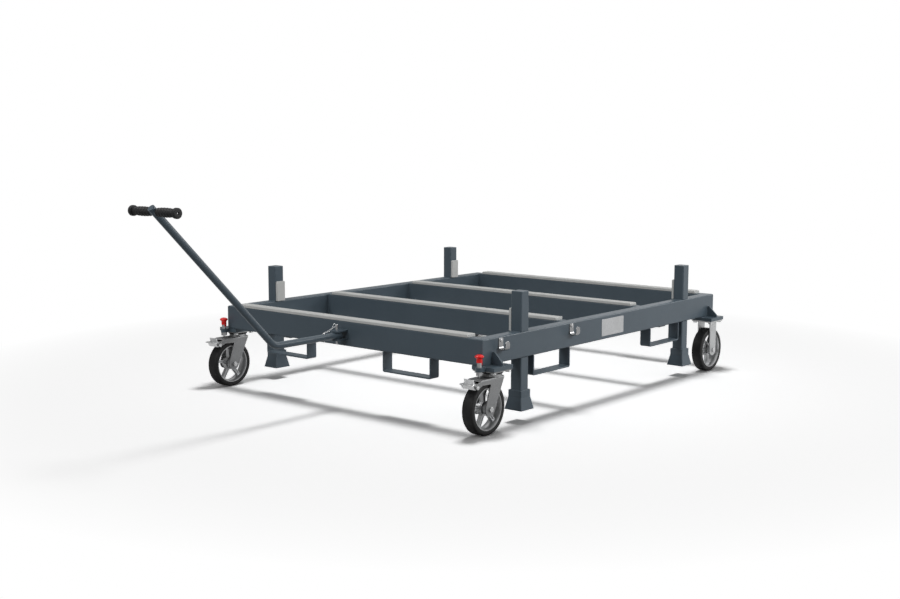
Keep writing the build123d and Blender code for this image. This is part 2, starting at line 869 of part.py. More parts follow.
with BuildPart() as plunger_guides:
    with BuildSketch(level_plane(0, lock_y, beam_bottom)):
        with GridLocations(2 * caster_x, 1, 2, 1):
            Circle(guide_sleeve_radius)
    extrude(amount=guide_sleeve_height)
    with BuildSketch(level_plane(0, lock_y, mount_height)):
        with GridLocations(2 * caster_x, 1, 2, 1):
            Circle(guide_thread_radius - running_clearance)
    extrude(amount=bracket_thickness)
    with BuildSketch(level_plane(0, lock_y, mount_height)):
        with GridLocations(2 * caster_x, 1, 2, 1):
            RegularPolygon(guide_nut_flats / 2, 6, major_radius=False)
    extrude(amount=-guide_nut_height)
    with BuildSketch(level_plane(0, lock_y, mount_height - guide_nut_height)):
        with GridLocations(2 * caster_x, 1, 2, 1):
            Circle(lock_pin_radius + running_clearance)
    extrude(amount=guide_nut_height + bracket_thickness + guide_sleeve_height, mode=Mode.SUBTRACT)
save(plunger_guides.part, "plunger_guides")


def lock_knob(x, key_turn):
    top = beam_bottom + knob_top_height
    skirt_foot = beam_bottom + knob_skirt_foot
    cap_foot = top - knob_cap_height
    dome_foot = cap_foot + knob_flare_height + knob_rim_height
    cavity = guide_sleeve_radius + knob_slide_clearance
    cavity_top = beam_bottom + guide_sleeve_height + lock_stroke + knob_end_play
    seat = lock_pin_radius + running_clearance
    with BuildPart() as knob:
        with BuildSketch(cross_plane(lock_y, x)):
            with BuildLine():
                Polyline(
                    (0, top),
                    (0, cavity_top + lock_pin_seat),
                    (seat, cavity_top + lock_pin_seat),
                    (seat, cavity_top),
                    (cavity, cavity_top),
                    (cavity, skirt_foot),
                    (knob_skirt_radius, skirt_foot),
                    (knob_skirt_radius, cap_foot),
                    (knob_cap_radius, cap_foot + knob_flare_height),
                    (knob_cap_radius, dome_foot),
                )
                RadiusArc((knob_cap_radius, dome_foot), (knob_top_flat, top), -knob_dome_radius)
                Line((knob_top_flat, top), (0, top))
            make_face()
        revolve(axis=Axis((x, lock_y, 0), (0, 0, 1)))
        with BuildSketch(level_plane(x, lock_y, skirt_foot)):
            Circle(knob_skirt_radius)
            Circle(cavity, mode=Mode.SUBTRACT)
            with PolarLocations(knob_skirt_radius, 1, start_angle=key_turn):
                Rectangle(knob_skirt_radius, knob_skirt_radius, mode=Mode.INTERSECT)
        extrude(amount=-knob_key_length)
    return knob.part


def lock_pin(x):
    tip = crown_top + lock_lift
    seat_top = beam_bottom + guide_sleeve_height + lock_stroke + knob_end_play + lock_pin_seat
    with BuildPart() as pin:
        with BuildSketch(level_plane(x, lock_y, tip)):
            Circle(lock_pin_radius)
        extrude(amount=seat_top - tip)
        chamfer(pin.faces().sort_by(Axis.Z)[0].edges(), lock_pin_radius / 4)
    return pin.part


for name, side in sides.items():
    save(lock_knob(side * caster_x, knob_key_turn[name]), f"lock_knob_{name}")
    save(lock_pin(side * caster_x), f"lock_pin_{name}")

# Clevis ears on the front beam

with BuildPart() as drawbar_clevis:
    for height in (drawbar_height + ear_gap / 2, drawbar_height - ear_gap / 2 - ear_thickness):
        with BuildSketch(level_plane(0, pin_y, height)):
            Circle(ear_width / 2)
            with Locations((0, pin_reach / 2)):
                Rectangle(ear_width, pin_reach)
            Circle(pin_radius + running_clearance, mode=Mode.SUBTRACT)
        extrude(amount=ear_thickness)
save(drawbar_clevis.part, "drawbar_clevis")

# Drawbar: bent tube with a cross bush at the pin and a closed top end

with BuildPart() as drawbar_tube:
    with BuildLine() as route:
        FilletPolyline(
            (0, pin_y + drawbar_tail, drawbar_height),
            (0, front_y - bend_reach, drawbar_height),
            (0, handle_y - drawbar_end * cos(rise), handle_height + drawbar_end * sin(rise)),
            radius=drawbar_bend_radius,
        )
    with BuildSketch(Plane(origin=route.line @ 0, z_dir=route.line % 0)):
        Circle(drawbar_radius)
        Circle(drawbar_radius - drawbar_wall, mode=Mode.SUBTRACT)
    sweep()
    with BuildSketch(Plane(origin=route.line @ 1, z_dir=route.line % 1)):
        Circle(drawbar_radius - drawbar_wall / 2)
    extrude(amount=-drawbar_cap)
    with BuildSketch(level_plane(0, pin_y, drawbar_height)):
        Circle(bush_radius)
    extrude(amount=ear_gap / 2 - ear_clearance, both=True)
    with BuildSketch(level_plane(0, pin_y, drawbar_height)):
        Circle(pin_radius + running_clearance)
        with Locations((0, -chain_reach)):
            Circle(chain_screw_radius + running_clearance)
    extrude(amount=ear_gap / 2, both=True, mode=Mode.SUBTRACT)
save(drawbar_tube.part, "drawbar_tube")

with BuildPart() as cross_bar:
    with BuildSketch(side_plane(-stub_reach, handle_y)):
        with Locations((0, handle_height)):
            Circle(stub_radius)
            Circle(stub_radius - stub_wall, mode=Mode.SUBTRACT)
    extrude(amount=2 * stub_reach)
    with BuildSketch(Plane(origin=(0, handle_y, handle_height), z_dir=(0, -cos(rise), sin(rise)))):
        Circle(drawbar_radius)
    extrude(amount=2 * drawbar_radius, both=True, mode=Mode.SUBTRACT)
    for side in sides.values():
        with BuildSketch(side_plane(side * stub_reach, handle_y)):
            with Locations((0, handle_height)):
                Circle(stub_radius - stub_wall / 2)
        extrude(amount=-side * stub_cap)
save(cross_bar.part, "cross_bar")


def rib_crest(share):
    """Radius of a grip's ribs at a share of their length: a barrel that swells in the middle."""
    return grip_end_radius + grip_belly * (1 - (2 * share - 1) ** 2)


bar_plane = Plane(origin=(0, handle_y, handle_height), x_dir=(1, 0, 0), z_dir=(0, -1, 0))
grip_start = drawbar_radius + grip_inner_gap
bulb_start = grip_reach - grip_bulb_width
rib_pitch = (bulb_start - grip_neck_width - grip_start) / grip_rib_count
rib_feet = [
    (grip_start + rib * rib_pitch, rib_crest(rib / grip_rib_count) - grip_groove)
    for rib in range(grip_rib_count + 1)
]

with BuildPart() as handle_grips:
    with BuildSketch(bar_plane) as section:
        with BuildLine():
            for rib in range(grip_rib_count):
                middle = rib + 0.5
                crest = (grip_start + middle * rib_pitch, rib_crest(middle / grip_rib_count))
                ThreePointArc(rib_feet[rib], crest, rib_feet[rib + 1])
            Polyline(
                rib_feet[-1],
                (bulb_start, rib_feet[-1][1]),
                (bulb_start, grip_bulb_radius),
                (grip_reach, grip_bulb_radius),
                (grip_reach, grip_end_hole_radius),
                (stub_reach, grip_end_hole_radius),
                (stub_reach, stub_radius),
                (grip_start, stub_radius),
                rib_feet[0],
            )
        make_face()
        fillet(section.vertices().group_by(Axis.Y)[-1], grip_bulb_edge)
    revolve(axis=Axis((0, handle_y, handle_height), (1, 0, 0)))
    mirror(about=Plane.YZ)
save(handle_grips.part, "handle_grips")

# Pivot pin with its ring, and the chain that keeps the pin with the drawbar

ring_y = pin_y - pin_head_radius - ring_radius + ring_wire
ring_height = pin_top - pin_head_height / 2

with BuildPart() as drawbar_pin:
    with BuildSketch(level_plane(0, pin_y, pin_foot)):
        Circle(pin_radius)
    extrude(amount=pin_top - pin_foot)
    chamfer(drawbar_pin.faces().sort_by(Axis.Z)[0].edges(), pin_radius / 3)
    with BuildSketch(level_plane(0, pin_y, pin_top - pin_head_height)):
        Circle(pin_head_radius)
    extrude(amount=pin_head_height)
    fillet(drawbar_pin.faces().sort_by(Axis.Z)[-1].edges(), pin_head_radius / 3)
    with BuildSketch(level_plane(0, ring_y, ring_height)):
        with Locations((0, -ring_radius)):
            Circle(ring_wire)
    revolve(axis=Axis((0, ring_y, ring_height), (1, 0, 0)))
save(drawbar_pin.part, "drawbar_pin")

chain_step = (ring_radius + ring_wire + chain_wire + ear_clearance) * cos(radians(45))
chain_foot = drawbar_height + ear_gap / 2
chain_start = Vector(0, ring_y - chain_step, ring_height - chain_step)
chain_end = Vector(0, pin_y - chain_reach + chain_screw_radius, chain_foot + chain_screw_head_height / 2)

with BuildPart() as pin_chain:
    with BuildLine() as hang:
        ThreePointArc(chain_start, (chain_start + chain_end) / 2 - Vector(0, 0, chain_sag), chain_end)
    with BuildSketch(Plane(origin=hang.line @ 0, z_dir=hang.line % 0)):
        Circle(chain_wire)
    sweep()
    with BuildSketch(level_plane(0, pin_y - chain_reach, chain_foot)):
        Circle(chain_screw_head_radius)
    extrude(amount=chain_screw_head_height)
    with BuildSketch(level_plane(0, pin_y - chain_reach, drawbar_height - ear_gap / 2)):
        Circle(chain_screw_radius)
    extrude(amount=ear_gap)
    with BuildSketch(level_plane(0, pin_y - chain_reach, drawbar_height - ear_gap / 2)):
        RegularPolygon(chain_screw_head_radius, 6)
    extrude(amount=-chain_screw_head_height)
save(pin_chain.part, "pin_chain")

# Hooks on the right rail that hold the unpinned drawbar

hook_face = frame_width / 2
hook_spots = [front_y + hook_front_setback, front_y + hook_front_setback + hook_spacing]


def storage_hook(y):
    with BuildPart() as hook:
        with BuildSketch(cross_plane(y)):
            with BuildLine():
                FilletPolyline(
                    (hook_face, hook_top),
                    (hook_face, hook_foot),
                    (hook_face + hook_reach, hook_foot),
                    (hook_face + hook_reach, hook_tip),
                    radius=hook_bend,
                )
                offset(amount=hook_bar, side=Side.LEFT)
            make_face()
        extrude(amount=hook_width / 2, both=True)
        across = hook.edges().filter_by(Axis.X)
        fillet(across.filter_by_position(Axis.Z, hook_tip - hook_bar, hook_tip + hook_bar), hook_tip_round)
        fillet(hook.edges().filter_by(Axis.X).group_by(Axis.Z)[-1], hook_corner)
        with BuildSketch(side_plane(hook_face, y)):
            with Locations((0, hook_screw_height)):
                Circle(hook_screw_radius + running_clearance)
        extrude(amount=hook_bar, mode=Mode.SUBTRACT)
    return hook.part


with BuildPart() as storage_hooks:
    for y in hook_spots:
        add(storage_hook(y))
save(storage_hooks.part, "storage_hooks")

with BuildPart() as hook_screws:
    for y in hook_spots:
        with BuildSketch(side_plane(hook_face, y)):
            with Locations((0, hook_screw_height)):
                Circle(hook_screw_radius)
        extrude(amount=hook_bar)
        with BuildSketch(side_plane(hook_face + hook_bar, y)):
            with Locations((0, hook_screw_height)):
                Circle(hook_screw_head_radius)
        extrude(amount=hook_screw_head_height)
save(hook_screws.part, "hook_screws")
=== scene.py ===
"""A flat stacking cart, dressed for a plain studio view.

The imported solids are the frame. Most are shown as copies with eased edges; tyres, grips, the pin's chain,
bolts, screws, seals, weld beads and the bare plate are built here. Every finish is a node material.
"""

import json
import logging
import math
from collections.abc import Iterable, Mapping, Sequence
from dataclasses import dataclass, field
from enum import Enum
from itertools import product
from typing import ClassVar

import bmesh
import bpy
from mathutils import Matrix, Vector

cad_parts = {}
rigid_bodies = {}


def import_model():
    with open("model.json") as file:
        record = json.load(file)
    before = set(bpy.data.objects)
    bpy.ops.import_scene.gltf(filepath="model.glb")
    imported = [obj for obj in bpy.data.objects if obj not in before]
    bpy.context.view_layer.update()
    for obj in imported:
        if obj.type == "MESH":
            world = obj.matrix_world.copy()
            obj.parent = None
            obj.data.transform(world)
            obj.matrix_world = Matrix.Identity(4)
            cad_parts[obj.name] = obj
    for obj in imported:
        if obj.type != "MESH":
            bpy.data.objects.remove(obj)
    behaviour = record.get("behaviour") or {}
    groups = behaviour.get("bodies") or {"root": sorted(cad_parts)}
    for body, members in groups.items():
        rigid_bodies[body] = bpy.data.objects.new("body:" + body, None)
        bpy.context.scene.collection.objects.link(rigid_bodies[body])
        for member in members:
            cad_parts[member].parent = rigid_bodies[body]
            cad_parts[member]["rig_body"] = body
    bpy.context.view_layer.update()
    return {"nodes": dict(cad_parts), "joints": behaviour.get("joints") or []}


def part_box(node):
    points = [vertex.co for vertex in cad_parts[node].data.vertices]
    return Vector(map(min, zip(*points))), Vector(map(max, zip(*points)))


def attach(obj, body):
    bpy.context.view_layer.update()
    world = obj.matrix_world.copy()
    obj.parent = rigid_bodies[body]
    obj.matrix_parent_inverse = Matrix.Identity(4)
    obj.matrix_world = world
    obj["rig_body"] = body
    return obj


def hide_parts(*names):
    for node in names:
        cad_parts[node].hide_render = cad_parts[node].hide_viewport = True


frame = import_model()

LOG = logging.getLogger("stacking_cart")
Triple = tuple[float, float, float]
Colour = Triple
Span = tuple[float, float]
Profile = list[Span]
Line = list[Vector]
Socket = bpy.types.NodeSocket
Shape = bmesh.types.BMesh
Mesh = bpy.types.Mesh
Ring = list[bmesh.types.BMVert]

MM = 0.001
ACROSS = Vector((1.0, 0.0, 0.0))
UP = Vector((0.0, 0.0, 1.0))

# Widths of eased edges, and the steps and roundness across one.
EASE = 0.8 * MM
FINE_EASE = 0.4 * MM
EASE_STEPS = 2
ROUND_PROFILE = 0.5

# Edges that bend by more degrees than this stay crisp.
CRISP = 38.0
CRISP_FLATS = 20.0
CRISP_RIBS = 50.0
CRISP_WIRE = 60.0

# A solid's mesh is cleaned of points closer than this and of edges that bend by fewer degrees than this.
POINT_GAP = 0.005 * MM
FLAT_BEND = 0.6

# Steps round a lathe's axis and on a rounded corner, and the radius below which a ring is a pole.
SMALL_TURN = 32
FINE_TURN = 96
CORNER_STEPS = 4
FINE_CORNER_STEPS = 6
POLE_RADIUS = 1e-7

# Where patterns ramp, and how an edge mask samples and ramps.
FULL: Span = (0.0, 1.0)
NOISE_MIDDLE: Span = (0.3, 0.7)
EDGE_RAMP: Span = (0.72, 0.97)
EDGE_SAMPLES = 4

# A screen's curve: a straight start up to its knee, then a lifted power.
SCREEN_TOP, SCREEN_KNEE, SCREEN_SLOPE, SCREEN_LIFT, SCREEN_POWER = 255, 0.04045, 12.92, 0.055, 2.4

# Places of the sockets that share a name with others on their node.
MIX_BASE, MIX_OVER, MIX_RESULT = 6, 7, 2
CHANCE_LOW, CHANCE_HIGH, CHANCE_RESULT = 2, 3, 1


class Place(Enum):
    """A place on the cart."""

    @property
    def word(self) -> str:
        """The place's name as node names spell it."""
        return self.name.lower()


class Side(Place):
    """The cart's two sides, by the sign of X."""

    LEFT = -1
    RIGHT = 1


class End(Place):
    """The cart's two ends, by the sign of Y."""

    FRONT = -1
    REAR = 1


CORNERS = tuple(f"{end.word}_{side.word}" for end in End for side in Side)


def both(stem: str) -> tuple[str, ...]:
    """Gives the names of the left and right node of a stem."""
    return tuple(f"{stem}_{side.word}" for side in Side)


def srgb(red: int, green: int, blue: int) -> Colour:
    """Turns a colour as a screen shows it into the linear values that shaders take.

    Args:
        red: Red, 0 to 255.
        green: Green, 0 to 255.
        blue: Blue, 0 to 255.

    Returns:
        The linear colour.
    """
    def linear(value: int) -> float:
        """Turns one channel."""
        share, lifted = value / SCREEN_TOP, value / SCREEN_TOP + SCREEN_LIFT
        return share / SCREEN_SLOPE if share <= SCREEN_KNEE else (lifted / (1 + SCREEN_LIFT)) ** SCREEN_POWER

    return linear(red), linear(green), linear(blue)


def scaled(colour: Colour, factor: float) -> Colour:
    """Returns a colour made lighter or darker by a factor."""
    return tuple(channel * factor for channel in colour)


def arched(share: float) -> float:
    """Gives a flat arch's height: 0 where share is 0 or 1, and 1 half way."""
    return 1 - (2 * share - 1) ** 2


def runs(axis: int, span: Span, *others: Iterable[float]) -> list[Line]:
    """Lays a line over a span of one axis, 0 to 2, at every pair of values on the other two."""
    return [[Vector((*rest[:axis], at, *rest[axis:])) for at in span] for rest in product(*others)]


def joint_place(name: str) -> Vector:
    """Gives the point, in metres, that the named joint turns about."""
    return next(Vector(joint["pos_m"]) for joint in frame["joints"] if joint["name"] == name)


def frame_middle() -> Vector:
    """Gives the point on the floor under the middle of the tube frame."""
    low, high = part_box("right_rail")
    return Vector((0.0, (low.y + high.y) / 2, 0.0))


def bracket_reach(side: Side, end: End) -> tuple[Vector, Vector, float, float]:
    """Measures a caster bracket.

    Args:
        side: Its side of the cart.
        end: Its end of the cart.

    Returns:
        Its box's two corners, and where along Y it starts and stops on its rail.
    """
    low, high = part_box(f"caster_bracket_{end.word}_{side.word}")
    rail_low, rail_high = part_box(f"{side.word}_rail")
    return low, high, max(low.y, rail_low.y), min(high.y, rail_high.y)


class NodeSheet:
    """A node tree with short calls that add and join its nodes."""

    def __init__(self, tree: bpy.types.NodeTree) -> None:
        """Takes the tree to fill."""
        self.tree = tree

    def give(self, target: Socket, source: object) -> None:
        """Feeds an input.

        Args:
            target: The input.
            source: Another node's socket to link to it, or a value to set.
        """
        if isinstance(source, Socket):
            self.tree.links.new(source, target)
        else:
            target.default_value = source

    def add(self, kind: str, feeds: Mapping[str | int, object] | None = None,
            **settings: object) -> bpy.types.Node:
        """Adds a node.

        Args:
            kind: The node's type name.
            feeds: What its inputs take, by their names or places.
            **settings: Properties to set on it before that.

        Returns:
            The node.
        """
        node = self.tree.nodes.new(kind)
        for key, value in settings.items():
            setattr(node, key, value)
        for key, source in (feeds or {}).items():
            self.give(node.inputs[key], source)
        return node

    def reckon(self, operation: str, first: object, second: object, kind: str = "Math",
               **settings: object) -> Socket:
        """Works out two values or sockets in a Math node, or a VectorMath one, and returns the result."""
        node = self.add("ShaderNode" + kind, {0: first, 1: second}, operation=operation, **settings)
        return node.outputs["Value"]

    def spread(self, source: Socket, low: float, high: float, ramp: Span = NOISE_MIDDLE) -> Socket:
        """Maps a pattern onto low to high, between the ramp's start and stop."""
        feeds = {"Value": source, "From Min": ramp[0], "From Max": ramp[1], "To Min": low, "To Max": high}
        return self.add("ShaderNodeMapRange", feeds).outputs["Result"]

    def shown(self, along: Socket, dim: Span, share: float) -> Socket:
        """Tells which rays see the white of the studio.

        Args:
            along: How far back a ray goes or ends.
            dim: Where along the studio's dim front turns to its white back.
            share: How much of the white mirror-like surfaces lose towards the front.

        Returns:
            0 for rays that light the cart, 1 for the backdrop's, and less for reflections of the front.
        """
        ray = self.add("ShaderNodeLightPath").outputs
        front = self.reckon("MULTIPLY", ray["Is Glossy Ray"], self.spread(along, share, 0.0, dim))
        seen = self.reckon("SUBTRACT", 1.0, ray["Is Diffuse Ray"])
        return self.reckon("SUBTRACT", seen, front, use_clamp=True)


@dataclass(frozen=True)
class Grain:
    """A noise pattern: its features per metre and octaves, where it ramps, and a scale along each axis."""

    scale: float
    detail: float
    ramp: Span = NOISE_MIDDLE
    stretch: Triple = (1.0, 1.0, 1.0)


@dataclass(frozen=True)
class Bump:
    """One layer of relief: its pattern, its strength and its depth in metres."""

    grain: Grain
    strength: float
    depth: float


class ShaderSheet(NodeSheet):
    """One material's node tree, fed from patterns on Object coordinates."""

    def __init__(self, name: str) -> None:
        """Starts a material with its shader and its Object coordinates.

        Args:
            name: The material's name.
        """
        self.material = bpy.data.materials.new(name)
        self.material.use_nodes = True
        super().__init__(self.material.node_tree)
        self.shader = self.tree.nodes["Principled BSDF"]
        self.place = self.add("ShaderNodeTexCoord").outputs["Object"]

    def feed(self, **sources: object) -> None:
        """Feeds the shader's inputs, named with _ for a space, with patterns or values."""
        for key, source in sources.items():
            self.give(self.shader.inputs[key.replace("_", " ").title().replace("Ior", "IOR")], source)

    def noise(self, grain: Grain) -> Socket:
        """Adds a noise pattern, 0 to 1, and returns it."""
        spot = self.add("ShaderNodeMapping", {"Vector": self.place, "Scale": grain.stretch}).outputs["Vector"]
        return self.add("ShaderNodeTexNoise", {"Vector": spot, "Scale": grain.scale,
                                               "Detail": grain.detail}).outputs["Fac"]

    def patches(self, grain: Grain, share: float) -> Socket:
        """Masks patches: 0 before a pattern's ramp starts, and share after it stops."""
        return self.spread(self.noise(grain), 0.0, share, grain.ramp)

    def spangle(self, scale: float) -> Socket:
        """Adds the random grey cells of a plated surface, with scale cells per metre."""
        cells = self.add("ShaderNodeTexVoronoi", {"Vector": self.place, "Scale": scale})
        return self.add("ShaderNodeSeparateColor", {"Color": cells.outputs["Color"]}).outputs["Red"]

    def edges(self, reach: float) -> Socket:
        """Masks edges.

        Args:
            reach: How far from an edge the mask goes, in metres.

        Returns:
            1 on an edge, and 0 on an open face.
        """
        bevel = self.add("ShaderNodeBevel", {"Radius": reach}, samples=EDGE_SAMPLES)
        surface = self.add("ShaderNodeNewGeometry")
        bend = self.reckon("DOT_PRODUCT", bevel.outputs["Normal"], surface.outputs["Normal"], "VectorMath")
        return self.spread(bend, 1.0, 0.0, EDGE_RAMP)

    def tint(self, source: Socket, dark: Colour, light: Colour, ramp: Span = NOISE_MIDDLE) -> Socket:
        """Colours a pattern.

        Args:
            source: The pattern.
            dark: The colour where the ramp starts.
            light: The colour where it stops.
            ramp: Where on the pattern it starts and stops.

        Returns:
            The colour.
        """
        node = self.add("ShaderNodeValToRGB", {"Fac": source})
        for stop, position, colour in zip(node.color_ramp.elements, ramp, (dark, light)):
            stop.position = position
            stop.color = (*colour, 1.0)
        return node.outputs["Color"]

    def blend(self, share: Socket, base: Socket, over: Colour) -> Socket:
        """Lays a colour over another one, as much of it as share says."""
        feeds = {"Factor": share, MIX_BASE: base, MIX_OVER: (*over, 1.0)}
        return self.add("ShaderNodeMix", feeds, data_type="RGBA").outputs[MIX_RESULT]

    def relief(self, bumps: Iterable[Bump]) -> None:
        """Stacks relief on the shader's normal.

        Args:
            bumps: Its layers, the lowest first.
        """
        feeds: dict[str, object] = {}
        for bump in bumps:
            feeds |= {"Height": self.noise(bump.grain), "Strength": bump.strength, "Distance": bump.depth}
            feeds["Normal"] = self.add("ShaderNodeBump", feeds).outputs["Normal"]
        self.feed(normal=feeds["Normal"])


@dataclass(frozen=True)
class Finish:
    """A surface finish that makes its material once and hands it out.

    Each kind of finish has its mottle and how dark and light that gets, the pattern of its polish, which goes
    from smooth to rough, and its layers of relief.
    """

    mottle: ClassVar[Grain]
    shades: ClassVar[Span]
    polish: ClassVar[Grain]
    bumps: ClassVar[tuple[Bump, ...]]
    name: str
    slot: str
    colour: Colour
    smooth: float
    rough: float

    def material(self) -> bpy.types.Material:
        """Returns the finish's material, made at the first call."""
        made = bpy.data.materials.get(self.name)
        return made if made is not None else self.make()

    def make(self) -> bpy.types.Material:
        """Builds the material's nodes.

        Returns:
            The material.
        """
        sheet = ShaderSheet(self.name)
        roughness = sheet.spread(sheet.noise(self.polish), self.smooth, self.rough)
        sheet.feed(base_color=self.coloured(sheet), roughness=roughness, **self.constants())
        sheet.relief(self.bumps)
        return sheet.material

    def coloured(self, sheet: ShaderSheet) -> Socket:
        """Colours the surface with its mottle."""
        dark, light = self.shades
        return sheet.tint(sheet.noise(self.mottle), scaled(self.colour, dark), scaled(self.colour, light))

    def constants(self) -> dict[str, float]:
        """Gives the shader's fixed values, a metal's where nothing else is said."""
        return {"metallic": 1.0}


@dataclass(frozen=True)
class PowderCoat(Finish):
    """Powder coat with orange peel, faint mottling and rubbed edges."""

    mottle = Grain(7.0, 4.0)
    shades = (0.96, 1.05)
    polish = Grain(55.0, 4.0)
    bumps = (Bump(Grain(420.0, 2.0), 0.02, 0.3 * MM), Bump(Grain(22.0, 2.0), 0.02, 0.6 * MM))
    wear = Grain(38.0, 5.0, (0.42, 0.72))
    wear_share = 0.55
    edge_reach = 1.6 * MM
    rubbed: Colour
    shine: float

    def coloured(self, sheet: ShaderSheet) -> Socket:
        """Colours the paint and rubs its edges."""
        share = sheet.reckon("MULTIPLY", sheet.edges(self.edge_reach),
                             sheet.patches(self.wear, self.wear_share))
        return sheet.blend(share, super().coloured(sheet), self.rubbed)

    def constants(self) -> dict[str, float]:
        """Gives the paint's shine."""
        return {"specular_ior_level": self.shine}


@dataclass(frozen=True)
class ZincPlate(Finish):
    """Zinc-plated steel with a soft spangle, handling marks, fine draw lines, and lighter edges that are
    rubbed wear and, where the gain is large, a painted highlight.
    """

    cells = 260.0
    shades = (0.93, 1.05)
    polish = Grain(90.0, 5.0, stretch=(1.0, 1.0, 6.0))
    bumps = (Bump(Grain(900.0, 2.0, stretch=(1.0, 1.0, 0.15)), 0.025, 0.15 * MM),)
    marks = Grain(30.0, 5.0, (0.45, 0.75))
    marks_share = 0.45
    marks_shade = 0.8
    edge_reach = 2.0 * MM
    # How much lighter the edges are: rubbed wear, and a painted highlight where this is well above 1.
    edge_gain: float = 1.25

    def coloured(self, sheet: ShaderSheet) -> Socket:
        """Colours the plating cell by cell, dulls it in places and lightens its edges as rubbed wear and as a
        painted highlight.

        Args:
            sheet: The material's nodes.

        Returns:
            The colour.
        """
        dark, light, dull, rubbed = (scaled(self.colour, shade)
                                     for shade in (*self.shades, self.marks_shade, self.edge_gain))
        plated = sheet.tint(sheet.spangle(self.cells), dark, light, FULL)
        handled = sheet.blend(sheet.patches(self.marks, self.marks_share), plated, dull)
        # The lightened edges stand for rubbed wear and also paint a highlight along them.
        return sheet.blend(sheet.edges(self.edge_reach), handled, rubbed)


@dataclass(frozen=True)
class CastAluminium(Finish):
    """Cast wheel metal with a sandy grain and brighter edges, which are machined metal and also a painted
    highlight on the lips.
    """

    mottle = Grain(160.0, 6.0)
    shades = (0.88, 1.08)
    polish = Grain(120.0, 5.0)
    bumps = (Bump(Grain(700.0, 3.0), 0.04, 0.25 * MM), Bump(Grain(60.0, 2.0), 0.03, 0.5 * MM))
    edge_reach = 1.2 * MM
    # The edges' light colour: machined metal, and a painted highlight on the rim's lips.
    edge: Colour

    def coloured(self, sheet: ShaderSheet) -> Socket:
        """Colours the casting and lightens its edges, as machined metal and as a painted highlight."""
        return sheet.blend(sheet.edges(self.edge_reach), super().coloured(sheet), self.edge)


@dataclass(frozen=True)
class Rubber(Finish):
    """Moulded black rubber with a fine skin and a little dust."""

    mottle = Grain(24.0, 4.0)
    shades = (0.85, 1.15)
    polish = Grain(80.0, 4.0)
    bumps = (Bump(Grain(1100.0, 2.0), 0.03, 0.2 * MM), Bump(Grain(140.0, 3.0), 0.03, 0.3 * MM))
    dusty = Grain(46.0, 6.0, (0.5, 0.8))
    dust: Colour
    dust_share: float
    shine: float

    def coloured(self, sheet: ShaderSheet) -> Socket:
        """Colours the rubber and its dust."""
        return sheet.blend(sheet.patches(self.dusty, self.dust_share), super().coloured(sheet), self.dust)

    def constants(self) -> dict[str, float]:
        """Gives the rubber's shine."""
        return {"specular_ior_level": self.shine}


@dataclass(frozen=True)
class Plastic(Finish):
    """Moulded or extruded plastic with a satin skin and light scuffs."""

    mottle = Grain(18.0, 4.0)
    shades = (0.95, 1.03)
    polish = Grain(120.0, 4.0)
    bumps = (Bump(Grain(800.0, 2.0), 0.06, 0.15 * MM), Bump(Grain(90.0, 3.0), 0.05, 0.3 * MM))
    scuffs = Grain(70.0, 5.0, (0.55, 0.8), (0.25, 1.0, 1.0))
    scuffs_share = 0.5
    coat_roughness = 0.12
    scuff: Colour
    coat: float

    def coloured(self, sheet: ShaderSheet) -> Socket:
        """Colours the plastic and its scuffs."""
        return sheet.blend(sheet.patches(self.scuffs, self.scuffs_share), super().coloured(sheet), self.scuff)

    def constants(self) -> dict[str, float]:
        """Gives the plastic's clear skin."""
        return {"coat_weight": self.coat, "coat_roughness": self.coat_roughness}


PAINT = PowderCoat("powder_coat", "frame_paint", srgb(77, 89, 98), 0.30, 0.38,
                   rubbed=srgb(128, 137, 143), shine=0.30)
# ZINC's and HOOK's large edge gains paint bright highlights on their edges and bends, over the rubbed wear.
ZINC = ZincPlate("zinc_pressing", "caster_zinc", (0.21, 0.213, 0.216), 0.44, 0.58, edge_gain=2.6)
BRUSHED = ZincPlate("brushed_zinc", "caster_zinc", (0.43, 0.434, 0.437), 0.40, 0.52, edge_gain=1.5)
PEDAL = ZincPlate("pedal_zinc", "caster_zinc", (0.75, 0.755, 0.76), 0.25, 0.33)
BRIGHT = ZincPlate("bright_plating", "bright_zinc", (0.55, 0.555, 0.56), 0.18, 0.28)
HOOK = ZincPlate("hook_zinc", "bright_zinc", (0.27, 0.273, 0.276), 0.16, 0.24, edge_gain=2.4)
PLATE = ZincPlate("plate_satin", "bright_zinc", (0.40, 0.405, 0.41), 0.42, 0.55)
STEEL = ZincPlate("ground_steel", "bearing_steel", (0.34, 0.34, 0.345), 0.24, 0.38)
# CAST's light edge colour is machined metal and also paints the bright highlight on the rims' lips.
CAST = CastAluminium("cast_rim", "rim_metal", (0.40, 0.405, 0.41), 0.30, 0.42, edge=(0.72, 0.73, 0.74))
TYRE = Rubber("tyre_moulding", "tyre_rubber", srgb(14, 14, 15), 0.52, 0.70,
              dust=srgb(34, 33, 32), dust_share=0.28, shine=0.30)
GRIP = Rubber("grip_moulding", "grip_rubber", srgb(34, 34, 35), 0.48, 0.58,
              dust=srgb(44, 44, 44), dust_share=0.10, shine=0.24)
# The seals' near-black rubber also paints the shade that falls in the swivel races.
SEAL_AND_SHADE = Rubber("race_seal", "grip_rubber", srgb(24, 24, 25), 0.52, 0.70,
              dust=srgb(48, 48, 48), dust_share=0.25, shine=0.30)
STRIP = Plastic("wear_strip", "pad_plastic", srgb(196, 197, 195), 0.38, 0.55,
                scuff=srgb(168, 168, 166), coat=0.0)
KNOB = Plastic("knob_red", "knob_plastic", srgb(238, 22, 18), 0.24, 0.36,
               scuff=srgb(200, 18, 15), coat=0.12)


